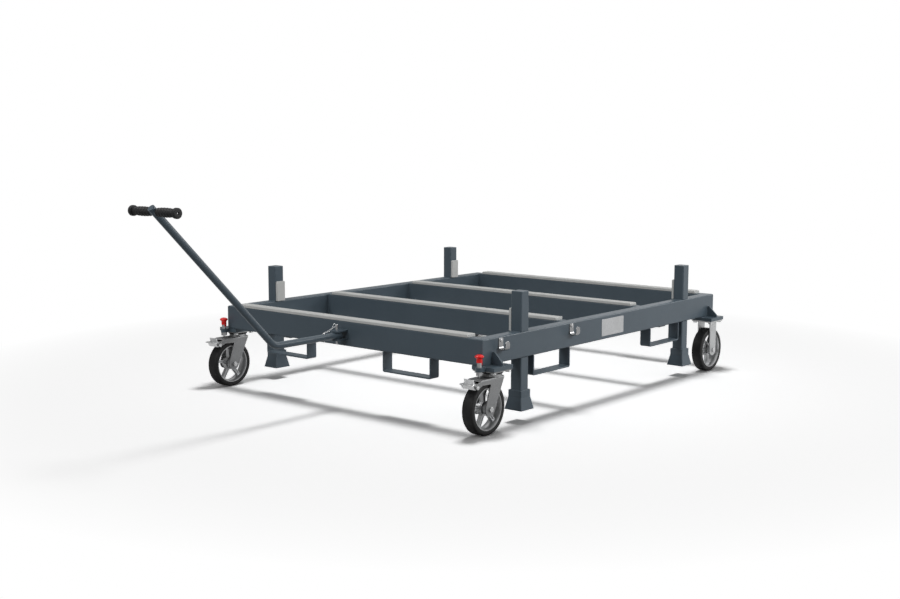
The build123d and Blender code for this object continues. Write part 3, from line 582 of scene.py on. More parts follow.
def to_mesh(shape: Shape, crisp: float = CRISP) -> Mesh:
    """Turns a shape into a smooth-shaded mesh.

    Args:
        shape: The shape, freed here.
        crisp: Edges that bend by more degrees than this stay crisp.

    Returns:
        The mesh.
    """
    mesh = bpy.data.meshes.new("shape")
    shape.to_mesh(mesh)
    shape.free()
    mesh.shade_smooth()
    mesh.set_sharp_from_angle(angle=math.radians(crisp))
    return mesh


def baked(obj: bpy.types.Object) -> Mesh:
    """Evaluates an object's modifiers.

    Args:
        obj: The object, removed here.

    Returns:
        The plain mesh.
    """
    bpy.context.view_layer.update()
    graph = bpy.context.evaluated_depsgraph_get()
    mesh = bpy.data.meshes.new_from_object(obj.evaluated_get(graph), preserve_all_data_layers=True,
                                           depsgraph=graph)
    bpy.data.objects.remove(obj)
    return mesh


def loose_object(name: str, data: bpy.types.ID) -> bpy.types.Object:
    """Links a new object to the scene.

    Args:
        name: Its name.
        data: Its mesh, camera or lamp, which takes that name too.

    Returns:
        The object.
    """
    data.name = name
    obj = bpy.data.objects.new(name, data)
    bpy.context.scene.collection.objects.link(obj)
    return obj


def piece(name: str, mesh: Mesh, body: str, finish: Finish, stands_for: str | None = None) -> None:
    """Makes a finished piece of the cart.

    Args:
        name: The piece's name.
        mesh: Its mesh, in the cart's own frame.
        body: The body that it rides on.
        finish: Its finish.
        stands_for: The solid that it is shown in place of, if any.
    """
    mesh.materials.clear()
    mesh.materials.append(finish.material())
    obj = loose_object(name, mesh)
    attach(obj, body)
    if stands_for is not None:
        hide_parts(stands_for)
    LOG.info("%s on %s, %d faces", name, body, len(mesh.polygons))


def eased_copies(finish: Finish, ease: float, *nodes: str) -> None:
    """Shows solids as copies with eased edges and smooth curves.

    Args:
        finish: Their finish.
        ease: Width of the eased edges in metres.
        *nodes: The solids' nodes.
    """
    for node in nodes:
        source = frame["nodes"][node]
        shape = bmesh.new()
        shape.from_mesh(source.data)
        bmesh.ops.remove_doubles(shape, verts=shape.verts, dist=POINT_GAP)
        bmesh.ops.dissolve_limit(shape, angle_limit=math.radians(FLAT_BEND), verts=shape.verts,
                                 edges=shape.edges)
        work = loose_object(node + "_work", to_mesh(shape))
        bevel = work.modifiers.new("ease", "BEVEL")
        bevel.width = ease
        bevel.segments = EASE_STEPS
        bevel.limit_method = "ANGLE"
        bevel.angle_limit = math.radians(CRISP)
        bevel.use_clamp_overlap = True
        work.modifiers.new("flats", "WEIGHTED_NORMAL").keep_sharp = True
        piece(node + "_dressed", baked(work), source["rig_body"], finish, node)


def stitch(shape: Shape, rings: list[Ring], steps: int) -> None:
    """Closes a surface over rings of points.

    Args:
        shape: The shape that holds the points.
        rings: The rings in order, from pole to pole or round to the first one; a pole is a single point.
        steps: The points of a full ring.
    """
    poles = len(rings[0]) == 1 and len(rings[-1]) == 1
    for near, far in zip(rings, rings[1:] if poles else rings[1:] + rings[:1]):
        for step in range(steps):
            after = (step + 1) % steps
            if len(near) == 1:
                shape.faces.new((near[0], far[step], far[after]))
            elif len(far) == 1:
                shape.faces.new((near[step], far[0], near[after]))
            else:
                shape.faces.new((near[step], far[step], far[after], near[after]))
    bmesh.ops.recalc_face_normals(shape, faces=shape.faces)


def lathe(profile: Profile, centre: Vector, axis: Vector, steps: int) -> Shape:
    """Turns a profile about an axis.

    Args:
        profile: Points as radius and place along the axis; a closed ring, or from pole to pole.
        centre: The axis's zero point.
        axis: The axis's direction.
        steps: Steps round the axis.

    Returns:
        The closed surface.
    """
    shape = bmesh.new()
    turn = axis.to_track_quat("Z", "Y").to_matrix()
    angles = [2 * math.pi * step / steps for step in range(steps)]
    rings: list[Ring] = []
    for radius, along in profile:
        spots = [(radius * math.cos(angle), radius * math.sin(angle), along) for angle in angles]
        if radius < POLE_RADIUS:
            spots = [(0.0, 0.0, along)]
        rings.append([shape.verts.new(centre + turn @ Vector(spot)) for spot in spots])
    stitch(shape, rings, steps)
    return shape


def rounded(corners: Sequence[Triple], steps: int = CORNER_STEPS) -> Profile:
    """Rounds the corners of a closed profile.

    Args:
        corners: For each corner its radius from the axis, its place along it and its rounding, in metres.
        steps: Steps on each rounding.

    Returns:
        The profile's points.
    """
    points: Profile = []
    for index, (radius, along, ease) in enumerate(corners):
        here = Vector((radius, along))
        if ease <= 0.0:
            points.append((radius, along))
            continue
        before = (Vector(corners[index - 1][:2]) - here).normalized()
        after = (Vector(corners[(index + 1) % len(corners)][:2]) - here).normalized()
        half = math.acos(max(-1.0, min(1.0, before.dot(after)))) / 2
        reach = ease / math.tan(half)
        middle = here + (before + after).normalized() * (ease / math.sin(half))
        start = here + before * reach - middle
        sweep = start.angle_signed(here + after * reach - middle)
        for step in range(steps + 1):
            spot = Vector(start)
            spot.rotate(Matrix.Rotation(-sweep * step / steps, 2))
            points.append(tuple(middle + spot))
    return points


def merged(shapes: Iterable[Shape]) -> Shape:
    """Gathers shapes into one.

    Args:
        shapes: The shapes, freed here.

    Returns:
        The shape that holds them all.
    """
    whole = bmesh.new()
    for shape in shapes:
        spare = bpy.data.meshes.new("spare")
        shape.to_mesh(spare)
        shape.free()
        whole.from_mesh(spare)
        bpy.data.meshes.remove(spare)
    return whole


def hexagon(flats: float, height: float, ease: float) -> Shape:
    """Makes a hexagon head or nut that stands on the origin.

    Args:
        flats: Width across its flats.
        height: Its height along Z.
        ease: Width of the eased rims at both ends.

    Returns:
        The prism.
    """
    shape = bmesh.new()
    radius = flats / math.sqrt(3)
    bmesh.ops.create_cone(shape, cap_ends=True, segments=6, radius1=radius, radius2=radius, depth=height)
    bmesh.ops.translate(shape, verts=shape.verts, vec=(0.0, 0.0, height / 2))
    rims = [edge for edge in shape.edges if abs(edge.verts[0].co.z - edge.verts[1].co.z) < height / 2]
    bmesh.ops.bevel(shape, geom=rims, offset=ease, segments=EASE_STEPS, profile=ROUND_PROFILE, affect="EDGES")
    return shape


def paths_mesh(paths: Iterable[Line]) -> Mesh:
    """Lays paths into one mesh.

    Args:
        paths: Each path's points; a path of one point is a lone vertex.

    Returns:
        A mesh of vertices and edges.
    """
    points: Line = []
    edges: list[tuple[int, int]] = []
    for path in paths:
        first = len(points)
        points.extend(path)
        edges.extend((first + step, first + step + 1) for step in range(len(path) - 1))
    mesh = bpy.data.meshes.new("paths")
    mesh.from_pydata(points, edges, [])
    return mesh


class GrowthSheet(NodeSheet):
    """A Geometry Nodes tree whose inputs are set by name and whose result is a plain mesh."""

    def __init__(self, name: str, **inputs: str) -> None:
        """Starts a tree that takes a geometry, a finish and other inputs.

        Args:
            name: The tree's name.
            **inputs: The socket type of each other input.
        """
        super().__init__(bpy.data.node_groups.new(name, "GeometryNodeTree"))
        for label, kind in {"geometry": "Geometry", **inputs, "finish": "Material"}.items():
            self.tree.interface.new_socket(label, in_out="INPUT", socket_type="NodeSocket" + kind)
        self.tree.interface.new_socket("geometry", in_out="OUTPUT", socket_type="NodeSocketGeometry")
        self.given = self.add("NodeGroupInput").outputs

    def chance(self, low: object, high: object) -> Socket:
        """Draws a number from low to high for each point, by the given seed."""
        feeds = {CHANCE_LOW: low, CHANCE_HIGH: high, "Seed": self.given["seed"]}
        return self.add("FunctionNodeRandomValue", feeds, data_type="FLOAT").outputs[CHANCE_RESULT]

    def copies(self, points: Socket, turn: Socket) -> Socket:
        """Sets the unit on points, each copy turned as turn says, and returns the copies."""
        unit = self.add("GeometryNodeObjectInfo", {"Object": self.given["unit"]}).outputs["Geometry"]
        return self.add("GeometryNodeInstanceOnPoints", {"Points": points, "Instance": unit,
                                                         "Rotation": turn}).outputs["Instances"]

    def stepped_path(self) -> Socket:
        """Turns the given edges into curves with a point at every step and returns them."""
        curve = self.add("GeometryNodeMeshToCurve", {"Mesh": self.given["geometry"]}).outputs["Curve"]
        return self.add("GeometryNodeResampleCurve", {"Curve": curve, "Length": self.given["step"]},
                        mode="LENGTH").outputs["Curve"]

    def close(self, geometry: Socket) -> None:
        """Realizes copies, sets the finish and ends the tree.

        Args:
            geometry: What has grown.
        """
        real = self.add("GeometryNodeRealizeInstances", {"Geometry": geometry}).outputs["Geometry"]
        paint = self.add("GeometryNodeSetMaterial", {"Geometry": real, "Material": self.given["finish"]})
        self.add("NodeGroupOutput", {"geometry": paint.outputs["Geometry"]})

    def grow(self, seeds: Mesh, finish: Finish, unit: Mesh | None = None, **values: float) -> Mesh:
        """Runs the tree once.

        Args:
            seeds: The points or paths that it grows on.
            finish: The finish of what grows.
            unit: What is copied, for a tree that copies.
            **values: The tree's other inputs.

        Returns:
            The plain mesh.
        """
        work = loose_object(self.tree.name + "_work", seeds)
        grower = work.modifiers.new("grow", "NODES")
        grower.node_group = self.tree
        source = loose_object(self.tree.name + "_unit", unit) if unit is not None else None
        settings = {**values, "finish": finish.material(), "unit": source}
        for socket in self.tree.interface.items_tree:
            if socket.in_out == "INPUT" and settings.get(socket.name) is not None:
                grower[socket.identifier] = settings[socket.name]
        mesh = baked(work)
        if source is not None:
            bpy.data.objects.remove(source)
        return mesh


class LinkRow(GrowthSheet):
    """Links along a path, every other one turned a quarter."""

    def __init__(self) -> None:
        """Builds the tree."""
        super().__init__("link_row", unit="Object", step="Float")
        tangent = self.add("GeometryNodeInputTangent").outputs["Tangent"]
        along = self.add("FunctionNodeAlignRotationToVector", {"Vector": tangent}, axis="Z")
        quarters = self.reckon("MULTIPLY", self.add("GeometryNodeInputIndex").outputs["Index"], math.pi / 2)
        roll = self.add("FunctionNodeAxisAngleToRotation", {"Angle": quarters})
        feeds = {"Rotation": along.outputs["Rotation"], "Rotate By": roll.outputs["Rotation"]}
        turned = self.add("FunctionNodeRotateRotation", feeds, rotation_space="LOCAL")
        self.close(self.copies(self.stepped_path(), turned.outputs["Rotation"]))


class Planting(GrowthSheet):
    """Copies of one unit on points, each turned by chance about the upright."""

    def __init__(self) -> None:
        """Builds the tree."""
        super().__init__("planting", unit="Object", seed="Int")
        roll = self.add("FunctionNodeAxisAngleToRotation", {"Angle": self.chance(0.0, 2 * math.pi)})
        self.close(self.copies(self.given["geometry"], roll.outputs["Rotation"]))


class WeldRun(GrowthSheet):
    """A weld bead along each path, thicker and thinner from ripple to ripple."""

    bead_sides = 8

    def __init__(self) -> None:
        """Builds the tree."""
        super().__init__("weld_run", radius="Float", step="Float", thin="Float", thick="Float", seed="Int")
        ring = self.add("GeometryNodeCurvePrimitiveCircle",
                        {"Resolution": self.bead_sides, "Radius": self.given["radius"]})
        feeds = {"Curve": self.stepped_path(), "Profile Curve": ring.outputs["Curve"], "Fill Caps": True,
                 "Scale": self.chance(self.given["thin"], self.given["thick"])}
        bead = self.add("GeometryNodeCurveToMesh", feeds).outputs["Mesh"]
        self.close(self.add("GeometryNodeSetShadeSmooth", {"Geometry": bead}).outputs["Geometry"])


@dataclass(frozen=True)
class Lamp:
    """A softbox: where it hangs from the frame's middle, its width and height, and its power in watts."""

    name: str
    offset: Triple
    size: Span
    power: float


@dataclass
class Studio:
    """Floor, light and camera."""

    eye: Vector = field(default_factory=lambda: frame_middle() + Vector((3.5427, -4.4484, 1.1091)))
    yaw: float = math.radians(39.88)
    pitch: float = math.radians(7.56)
    roll: float = math.radians(0.09)
    focal_pixels: float = 1264.84
    image_width: float = 900.0
    sensor: float = 36.0
    sight: float = 200.0
    floor_size: float = 60.0
    fade: Span = (1.3, 2.6)
    floor_seen: Colour = (1.75, 1.75, 1.75)
    floor_bounce: Colour = (0.3, 0.3, 0.3)
    surround: float = 0.14
    floor_dim: Span = (-1.6, 0.8)
    white_side: Triple = (0.6, 0.6, 0.9)
    world_dim: Span = (0.2, 0.45)
    dim_share: float = 0.85
    aim: Vector = field(default_factory=lambda: frame_middle() + Vector((0.0, 0.0, 0.3)))
    floor_lamp: Lamp = Lamp("overhead", (0.1, 0.1, 4.5), (1.1, 1.1), 90.0)
    cart_lamps: tuple[Lamp, ...] = (Lamp("key_right", (5.2, 0.6, 3.0), (2.0, 1.4), 124.0),
                                    Lamp("back_right", (4.2, 5.2, 3.4), (3.2, 2.2), 150.0),
                                    Lamp("top_left", (-1.6, -3.2, 4.7), (1.4, 1.4), 95.0),
                                    Lamp("front_fill", (0.5, -5.5, 2.4), (2.4, 1.6), 56.0))

    def camera(self) -> None:
        """Puts the camera at the photograph's viewpoint."""
        data = bpy.data.cameras.new("camera")
        data.sensor_fit = "HORIZONTAL"
        data.sensor_width = self.sensor
        data.lens = self.focal_pixels / self.image_width * self.sensor
        data.clip_end = self.sight
        obj = loose_object("camera", data)
        turn = (Matrix.Rotation(self.yaw, 4, "Z") @ Matrix.Rotation(math.pi / 2 - self.pitch, 4, "X")
                @ Matrix.Rotation(self.roll, 4, "Z"))
        obj.matrix_world = Matrix.Translation(self.eye) @ turn
        bpy.context.scene.camera = obj

    def floor(self) -> None:
        """Lays a pale floor that keeps the cart's shadow and runs out to white further off."""
        shape = bmesh.new()
        bmesh.ops.create_grid(shape, x_segments=1, y_segments=1, size=self.floor_size)
        obj = loose_object("floor", to_mesh(shape))
        sheet = ShaderSheet("floor_white")
        back = sheet.add("ShaderNodeSeparateXYZ", {"Vector": sheet.place}).outputs["Y"]
        seen = sheet.shown(back, self.floor_dim, self.dim_share)
        away = sheet.reckon("DISTANCE", sheet.place, frame_middle(), "VectorMath")
        white = sheet.reckon("MULTIPLY", seen, sheet.spread(away, 0.0, 1.0, self.fade))
        glow = sheet.add("ShaderNodeEmission").outputs["Emission"]
        colour = sheet.tint(seen, self.floor_bounce, self.floor_seen, FULL)
        matt = sheet.add("ShaderNodeBsdfDiffuse", {"Color": colour}).outputs["BSDF"]
        mix = sheet.add("ShaderNodeMixShader", {"Fac": white, 1: matt, 2: glow}).outputs["Shader"]
        sheet.give(sheet.tree.nodes["Material Output"].inputs["Surface"], mix)
        sheet.tree.nodes.remove(sheet.shader)
        obj.data.materials.append(sheet.material)

    def world(self) -> None:
        """Sets a white backdrop and a soft grey surrounding light."""
        world = bpy.data.worlds.new("studio")
        bpy.context.scene.world = world
        world.use_nodes = True
        sheet = NodeSheet(world.node_tree)
        back = sheet.tree.nodes["Background"]
        way = sheet.add("ShaderNodeTexCoord").outputs["Generated"]
        along = sheet.reckon("DOT_PRODUCT", way, self.white_side, "VectorMath")
        seen = sheet.shown(along, self.world_dim, self.dim_share)
        back.inputs["Color"].default_value = (1.0, 1.0, 1.0, 1.0)
        sheet.give(back.inputs["Strength"], sheet.spread(seen, self.surround, 1.0, FULL))

    def light(self, name: str, state: str, *lamps: Lamp) -> None:
        """Hangs lamps that point at the cart.

        Args:
            name: A name for the set of objects that they light.
            state: INCLUDE to light the floor alone, EXCLUDE to light all but the floor.
            *lamps: The lamps.
        """
        lit = bpy.data.collections.new(name)
        lit.objects.link(bpy.data.objects["floor"])
        lit.collection_objects[0].light_linking.link_state = state
        for lamp in lamps:
            data = bpy.data.lights.new(lamp.name, "AREA")
            data.shape = "RECTANGLE"
            data.size, data.size_y = lamp.size
            data.energy = lamp.power
            obj = loose_object(lamp.name, data)
            obj.location = frame_middle() + Vector(lamp.offset)
            obj.rotation_euler = (self.aim - obj.location).to_track_quat("-Z", "Y").to_euler()
            obj.visible_camera = False
            obj.light_linking.receiver_collection = lit

    def build(self) -> None:
        """Builds the whole studio."""
        bpy.context.scene.view_settings.view_transform = "Standard"
        self.camera()
        self.floor()
        self.world()
        self.light("floor_only", "INCLUDE", self.floor_lamp)
        self.light("all_but_floor", "EXCLUDE", *self.cart_lamps)


@dataclass
class PaintedFrame:
    """The welded tube frame with its posts, feet, pockets, brackets, wear strips and bare plate."""

    tubes: tuple[str, ...] = ("front_beam", "rear_beam", "left_rail", "right_rail", "cross_members",
                              "stacking_legs", "fork_pockets_front", "fork_pockets_rear",
                              "fork_pockets_left", "fork_pockets_right", "drawbar_clevis")
    corner_parts: tuple[str, ...] = ("stanchion", "stacking_foot", "caster_bracket")
    tube_width: float = 50.0 * MM
    tube_corner: float = 6.0 * MM
    pocket_width: float = 248.0 * MM
    pocket_bar: float = 6.0 * MM
    ear: float = 6.0 * MM
    gusset_setback: float = 61.5 * MM
    gusset_half: float = 3.5 * MM
    gusset_reach: float = 50.0 * MM
    gusset_height: float = 48.0 * MM
    weld_radius: float = 1.7 * MM
    weld_step: float = 2.4 * MM
    weld_thin: float = 0.86
    weld_thick: float = 1.12
    weld_seed: int = 7
    plate_size: Triple = (166.0 * MM, 70.0 * MM, 0.8 * MM)
    plate_place: Span = (4.0 * MM, 304.5 * MM)
    plate_corner: float = 3.0 * MM

    def post_welds(self) -> list[Line]:
        """Draws lines across the feet of the posts and the tops of the legs, and round each leg in its foot.

        Returns:
            The lines.
        """
        lines: list[Line] = []
        leg_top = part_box("stacking_legs")[1].z
        for corner in CORNERS:
            low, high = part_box("stanchion_" + corner)
            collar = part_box("stacking_foot_" + corner)[1].z
            start, stop = low.x + self.tube_corner, high.x - self.tube_corner
            lines += runs(0, (start, stop), (low.y, high.y), (low.z, leg_top, collar))
            start, stop = low.y + self.tube_corner, high.y - self.tube_corner
            lines += runs(1, (start, stop), (low.x, high.x), (collar,))
        return lines

    def pocket_welds(self) -> list[Line]:
        """Draws lines along both faces of every pocket bar, under the tube that it hangs from.

        Returns:
            The lines.
        """
        lines: list[Line] = []
        for place in (*End, *Side):
            along, across = (0, 1) if isinstance(place, End) else (1, 0)
            low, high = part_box("fork_pockets_" + place.word)
            ends = (low[across] + self.tube_corner, low[across] + self.tube_width - self.tube_corner)
            bars = (low[along], low[along] + self.pocket_width - self.pocket_bar,
                    high[along] - self.pocket_width, high[along] - self.pocket_bar)
            faces = [face for bar in bars for face in (bar, bar + self.pocket_bar)]
            lines += runs(across, ends, faces, (high.z,))
        return lines

    def bracket_welds(self) -> list[Line]:
        """Draws lines along the caster brackets and both sides of their gussets.

        Returns:
            The lines.
        """
        lines: list[Line] = []
        for side in Side:
            rail_low, rail_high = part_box(f"{side.word}_rail")
            face = rail_high.x if side is Side.RIGHT else rail_low.x
            tip, plate = face + side.value * self.gusset_reach, rail_low.z
            for end in End:
                start, stop = bracket_reach(side, end)[2:]
                lines += runs(1, (start, stop), (face,), (plate,))
                middle = start + self.gusset_setback
                for y in (middle - self.gusset_half, middle + self.gusset_half):
                    lines += runs(0, (face, tip), (y,), (plate,))
                    lines += runs(2, (plate, plate + self.gusset_height), (face,), (y,))
        return lines

    def beam_welds(self) -> list[Line]:
        """Draws lines along the clevis ears and up both sides of each cross-member's ends.

        Returns:
            The lines.
        """
        low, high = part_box("drawbar_clevis")
        levels = (low.z, low.z + self.ear, high.z - self.ear, high.z)
        ears = runs(0, (low.x, high.x), (high.y,), levels)
        low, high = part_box("cross_members")
        sides = (low.y, low.y + self.tube_width, high.y - self.tube_width, high.y)
        span = (low.z + self.tube_corner, high.z - self.tube_corner)
        return ears + runs(2, span, (low.x, high.x), sides)

    def welds(self) -> None:
        """Lays the weld beads of the whole frame."""
        lines = self.post_welds() + self.pocket_welds() + self.bracket_welds() + self.beam_welds()
        beads = WeldRun().grow(paths_mesh(lines), PAINT, radius=self.weld_radius, step=self.weld_step,
                               thin=self.weld_thin, thick=self.weld_thick, seed=self.weld_seed)
        piece("weld_beads", beads, "frame", PAINT)

    def plate(self) -> None:
        """Fixes the bare plate to the right rail."""
        length, height, thickness = self.plate_size
        shift, level = self.plate_place
        face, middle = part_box("right_rail")[1].x, frame_middle()
        outline = rounded([(y * length / 2, z * height / 2, self.plate_corner)
                           for y, z in ((1, 1), (-1, 1), (-1, -1), (1, -1))])
        shape = bmesh.new()
        back = [shape.verts.new((face, middle.y + shift + y, level + z)) for y, z in outline]
        front = [shape.verts.new((face + thickness, vert.co.y, vert.co.z)) for vert in back]
        shape.faces.new(back)
        rim = shape.faces.new(front)
        for step in range(len(back)):
            after = (step + 1) % len(back)
            shape.faces.new((back[step], back[after], front[after], front[step]))
        bmesh.ops.recalc_face_normals(shape, faces=shape.faces)
        bmesh.ops.bevel(shape, geom=list(rim.edges), offset=thickness / 3, segments=EASE_STEPS,
                        profile=ROUND_PROFILE, affect="EDGES")
        piece("bare_plate", to_mesh(shape, CRISP_FLATS), "frame", PLATE)

    def build(self) -> None:
        """Dresses every painted solid and the strips, and adds the welds and the plate."""
        eased_copies(PAINT, EASE, *self.tubes)
        for part in self.corner_parts:
            eased_copies(PAINT, EASE, *(f"{part}_{corner}" for corner in CORNERS))
        eased_copies(STRIP, EASE, "deck_pads", "stanchion_pads")
        self.welds()
        self.plate()


@dataclass
class Casters:
    """Four casters: forks, pedals, locks, bolts, seals and wheels."""

    fork_ease: float = 1.8 * MM
    rim_ease: float = 1.0 * MM
    tyre_bead: float = 80.5 * MM
    tyre_round: float = 8.0 * MM
    tyre_edge: float = 1.6 * MM
    tyre_steps: int = 144
    bolt_spread: Span = (39.0 * MM, 43.0 * MM)
    swivel_plate: float = 5.0 * MM
    fixed_plate: float = 6.0 * MM
    bolt_flats: float = 17.0 * MM
    bolt_head: float = 6.0 * MM
    bolt_ease: float = 0.9 * MM
    washer_radius: float = 10.0 * MM
    washer: float = 1.2 * MM
    bolt_seed: int = 11
    seal_radii: Span = (37.8 * MM, 39.8 * MM)
    seal_heights: Span = (226.4 * MM, 232.5 * MM)
    seal_lip: float = 0.4 * MM
    seal_round: float = 1.0 * MM

    def tyre(self, corner: str) -> None:
        """Turns one tyre with full round shoulders.

        Args:
            corner: The wheel's corner of the cart.
        """
        low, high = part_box("wheel_tyre_" + corner)
        radius, half = (high.z - low.z) / 2, (high.x - low.x) / 2
        bead, edge = self.tyre_bead, self.tyre_edge
        section = [(bead, half - edge, edge / 2), (bead + edge, half, edge / 2),
                   (radius, half, self.tyre_round), (radius, -half, self.tyre_round),
                   (bead + edge, -half, edge / 2), (bead, edge - half, edge / 2)]
        shape = lathe(rounded(section, FINE_CORNER_STEPS), joint_place(f"wheel_{corner}_spin"), ACROSS,
                      self.tyre_steps)
        piece("tyre_" + corner, to_mesh(shape), f"wheel_{corner}", TYRE, "wheel_tyre_" + corner)

    def bolts(self) -> None:
        """Sets the sixteen plate bolts with their washers."""
        head = hexagon(self.bolt_flats, self.bolt_head, self.bolt_ease)
        top, ease = self.bolt_head + self.washer, self.washer / 4
        section = [(0.0, self.bolt_head, 0.0), (self.washer_radius, self.bolt_head, ease),
                   (self.washer_radius, top, ease), (0.0, top, 0.0)]
        unit = merged((head, lathe(rounded(section), Vector(), UP, SMALL_TURN)))
        bmesh.ops.translate(unit, verts=unit.verts, vec=(0.0, 0.0, -top))
        offsets = list(product(*((-reach, reach) for reach in self.bolt_spread)))
        spots: list[Line] = []
        for side in Side:
            for end, plate in ((End.FRONT, self.swivel_plate), (End.REAR, self.fixed_plate)):
                low, high, start, stop = bracket_reach(side, end)
                across, along = (low.x + high.x) / 2, (start + stop) / 2
                spots += [[Vector((across + x, along + y, low.z - plate))] for x, y in offsets]
        mesh = Planting().grow(paths_mesh(spots), BRIGHT, to_mesh(unit, CRISP_FLATS), seed=self.bolt_seed)
        piece("plate_bolts", mesh, "frame", BRIGHT, "caster_bolts")

    def seals(self) -> None:
        """Closes the swivel races with dark dust seals, whose near-black rubber also paints the shade inside
        the races.
        """
        inner, outer = self.seal_radii
        foot, top = self.seal_heights
        section = rounded([(inner, foot, self.seal_lip), (outer, foot, self.seal_round),
                           (outer, top, self.seal_round), (inner, top, self.seal_lip)])
        spots = [joint_place(f"swivel_{side.word}_turn") for side in Side]
        rings = merged(lathe(section, Vector((spot.x, spot.y, 0.0)), UP, FINE_TURN) for spot in spots)
        piece("race_seals", to_mesh(rings), "frame", SEAL_AND_SHADE)

    def build(self) -> None:
        """Dresses every caster part."""
        eased_copies(ZINC, self.fork_ease, "swivel_top_plates", *both("swivel_fork"))
        eased_copies(BRUSHED, EASE, *both("fixed_fork"))
        eased_copies(BRIGHT, FINE_EASE, "rear_axles", *both("fork_bolts"), *both("lock_pin"))
        eased_copies(PEDAL, FINE_EASE, *both("brake_pedal"))
        eased_copies(PLATE, EASE, "plunger_guides")
        eased_copies(KNOB, EASE, *both("lock_knob"))
        for corner in CORNERS:
            eased_copies(CAST, self.rim_ease, "wheel_rim_" + corner)
            eased_copies(STEEL, FINE_EASE, "wheel_bearings_" + corner)
            self.tyre(corner)
        self.bolts()
        self.seals()


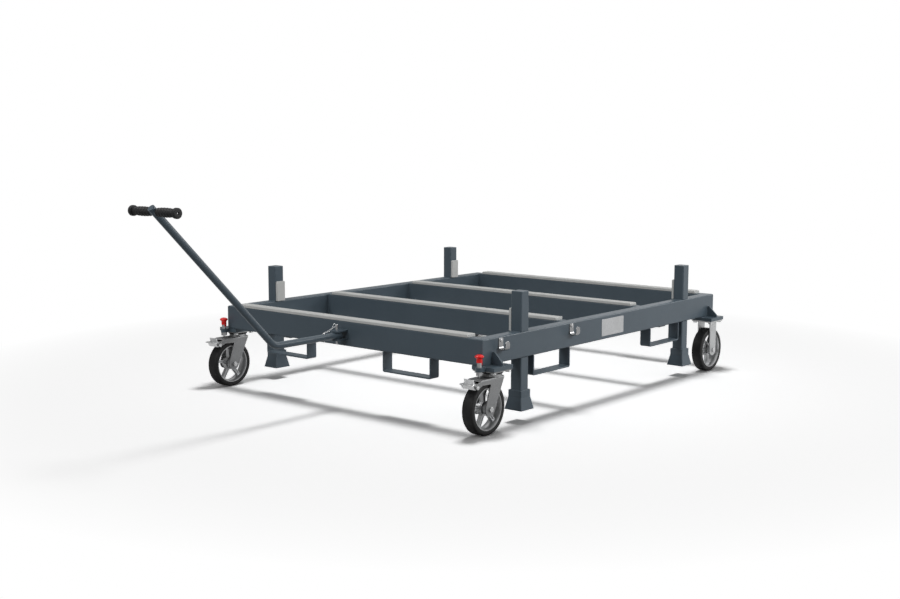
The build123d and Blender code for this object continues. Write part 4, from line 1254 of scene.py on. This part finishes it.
@dataclass
class Drawbar:
    """The bent drawbar with its handle, pin, chain and the hooks that store it."""

    tube_ease: float = 0.5 * MM
    bar_radius: float = 11.0 * MM
    bar_reach: float = 122.0 * MM
    grip_start: float = 15.0 * MM
    grip_reach: float = 128.0 * MM
    grip_end_radius: float = 14.5 * MM
    grip_belly: float = 2.6 * MM
    grip_groove: float = 2.3 * MM
    grip_ribs: int = 6
    rib_steps: int = 10
    neck_width: float = 5.0 * MM
    bulb_radius: float = 19.0 * MM
    bulb_width: float = 16.0 * MM
    bulb_edge: float = 4.0 * MM
    hole_radius: float = 4.5 * MM
    hole_edge: float = 0.6 * MM
    plug_dome: float = 3.2 * MM
    plug_turn: int = 40
    link_radius: float = 2.2 * MM
    link_straight: float = 4.0 * MM
    link_wire: float = 0.8 * MM
    link_step: float = 6.8 * MM
    link_points: int = 20
    wire_points: int = 8
    chain_top: Span = (-19.0 * MM, 337.0 * MM)
    chain_foot: Span = (-71.0 * MM, 320.5 * MM)
    chain_sag: float = 3.0 * MM
    chain_steps: int = 8
    screw_reach: float = 73.0 * MM
    screw_seat: float = 316.3 * MM
    screw_radius: float = 5.5 * MM
    screw_head: float = 4.0 * MM
    screw_round: float = 1.2 * MM
    nut_flats: float = 9.5 * MM
    nut_ease: float = 0.6 * MM
    hook_screw_radius: float = 6.0 * MM
    hook_screw_head: float = 3.5 * MM
    hook_screw_round: float = 2.2 * MM
    hook_screw_foot: float = 0.2 * MM
    socket_radius: float = 2.3 * MM
    socket_depth: float = 2.2 * MM
    socket_edge: float = 0.3 * MM

    def grip_section(self) -> Profile:
        """Draws a grip's half section: ribs on a swelling barrel, a neck and a round bulb with a hole.

        Returns:
            The section's points.
        """
        bulb = self.grip_reach - self.bulb_width
        length = bulb - self.neck_width - self.grip_start
        corners = [(self.bar_radius, self.grip_start, 0.0)]
        for step in range(self.grip_ribs * self.rib_steps + 1):
            share = step / (self.grip_ribs * self.rib_steps)
            rib = (1 - math.cos(2 * math.pi * step / self.rib_steps)) / 2
            crest = self.grip_end_radius + self.grip_belly * arched(share)
            corners.append((crest - self.grip_groove * (1 - rib), self.grip_start + share * length, 0.0))
        corners += [(self.grip_end_radius - self.grip_groove, bulb, self.neck_width / 4),
                    (self.bulb_radius, bulb, self.bulb_edge),
                    (self.bulb_radius, self.grip_reach, self.bulb_edge),
                    (self.hole_radius, self.grip_reach, self.hole_edge),
                    (self.hole_radius, self.bar_reach, 0.0), (self.bar_radius, self.bar_reach, 0.0)]
        return rounded(corners, FINE_CORNER_STEPS)

    def handle(self) -> None:
        """Turns both grips and the plugs in their ends."""
        low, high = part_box("handle_grips")
        centre = (low + high) / 2
        axes = [Vector((float(side.value), 0.0, 0.0)) for side in Side]
        grips = merged(lathe(self.grip_section(), centre, axis, FINE_TURN) for axis in axes)
        piece("ribbed_grips", to_mesh(grips, CRISP_RIBS), "drawbar", GRIP, "handle_grips")
        dome = rounded([(0.0, self.bar_reach, 0.0), (self.hole_radius, self.bar_reach, 0.0),
                        (self.hole_radius, self.bar_reach + self.plug_dome / 2, self.plug_dome / 3),
                        (0.0, self.bar_reach + self.plug_dome, 0.0)], FINE_CORNER_STEPS)
        plugs = merged(lathe(dome, centre, axis, self.plug_turn) for axis in axes)
        piece("bar_plugs", to_mesh(plugs), "drawbar", PLATE)

    def link(self) -> Mesh:
        """Bends one chain link, long along Z.

        Returns:
            The link's mesh.
        """
        shape = bmesh.new()
        turns = [2 * math.pi * point / self.wire_points for point in range(self.wire_points)]
        rings: list[Ring] = []
        for step in range(self.link_points):
            angle = 2 * math.pi * (step + 0.5) / self.link_points
            out = Vector((math.cos(angle), 0.0, math.sin(angle)))
            rise = math.copysign(self.link_straight / 2, out.z)
            middle = out * self.link_radius + Vector((0.0, 0.0, rise))
            rings.append([shape.verts.new(middle + (out * math.cos(turn) + Vector((0.0, math.sin(turn), 0.0)))
                                          * self.link_wire) for turn in turns])
        stitch(shape, rings, self.wire_points)
        return to_mesh(shape, CRISP_WIRE)

    def chain(self) -> None:
        """Hangs the chain from the pin's ring to its screw on the tube."""
        pin = joint_place("drawbar_swing")
        top, foot = (Vector((0.0, pin.y + y, z)) for y, z in (self.chain_top, self.chain_foot))
        shares = [step / self.chain_steps for step in range(self.chain_steps + 1)]
        path = [top.lerp(foot, share) - UP * (self.chain_sag * arched(share)) for share in shares]
        links = LinkRow().grow(paths_mesh([path]), BRIGHT, self.link(), step=self.link_step)
        piece("pin_chain_links", links, "drawbar", BRIGHT, "pin_chain")
        seat = Vector((0.0, pin.y - self.screw_reach, self.screw_seat))
        dome = rounded([(0.0, 0.0, 0.0), (self.screw_radius, 0.0, 0.0),
                        (self.screw_radius, self.screw_head / 2, self.screw_round),
                        (0.0, self.screw_head, 0.0)])
        nut = hexagon(self.nut_flats, self.screw_head, self.nut_ease)
        bmesh.ops.translate(nut, verts=nut.verts, vec=(0.0, seat.y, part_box("pin_chain")[0].z))
        screw = merged((lathe(dome, seat, UP, SMALL_TURN), nut))
        piece("chain_screw", to_mesh(screw), "drawbar", BRIGHT)

    def hook_screws(self) -> None:
        """Turns the hooks' button screws with their sockets."""
        low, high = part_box("hook_screws")
        radius, head = self.hook_screw_radius, self.hook_screw_head
        section = rounded([(0.0, head - self.socket_depth, 0.0),
                           (self.socket_radius, head - self.socket_depth, 0.0),
                           (self.socket_radius, head, self.socket_edge),
                           (radius, head, self.hook_screw_round),
                           (radius, 0.0, self.hook_screw_foot), (0.0, 0.0, 0.0)])
        level = (low.z + high.z) / 2
        spots = [Vector((high.x - head, y, level)) for y in (low.y + radius, high.y - radius)]
        heads = merged(lathe(section, spot, ACROSS, SMALL_TURN) for spot in spots)
        piece("button_screws", to_mesh(heads), "frame", BRIGHT, "hook_screws")

    def build(self) -> None:
        """Dresses the drawbar's solids and builds the handle, the chain and the screws."""
        eased_copies(PAINT, self.tube_ease, "drawbar_tube", "cross_bar")
        eased_copies(BRIGHT, FINE_EASE, "drawbar_pin")
        eased_copies(HOOK, FINE_EASE, "storage_hooks")
        self.handle()
        self.chain()
        self.hook_screws()


def main() -> None:
    """Builds the cart's pieces and the studio."""
    logging.basicConfig(level=logging.INFO, format="%(name)s: %(message)s")
    Studio().build()
    for assembly in (PaintedFrame(), Casters(), Drawbar()):
        assembly.build()
        LOG.info("%s finished", type(assembly).__name__)


if __name__ == "__main__":
    main()
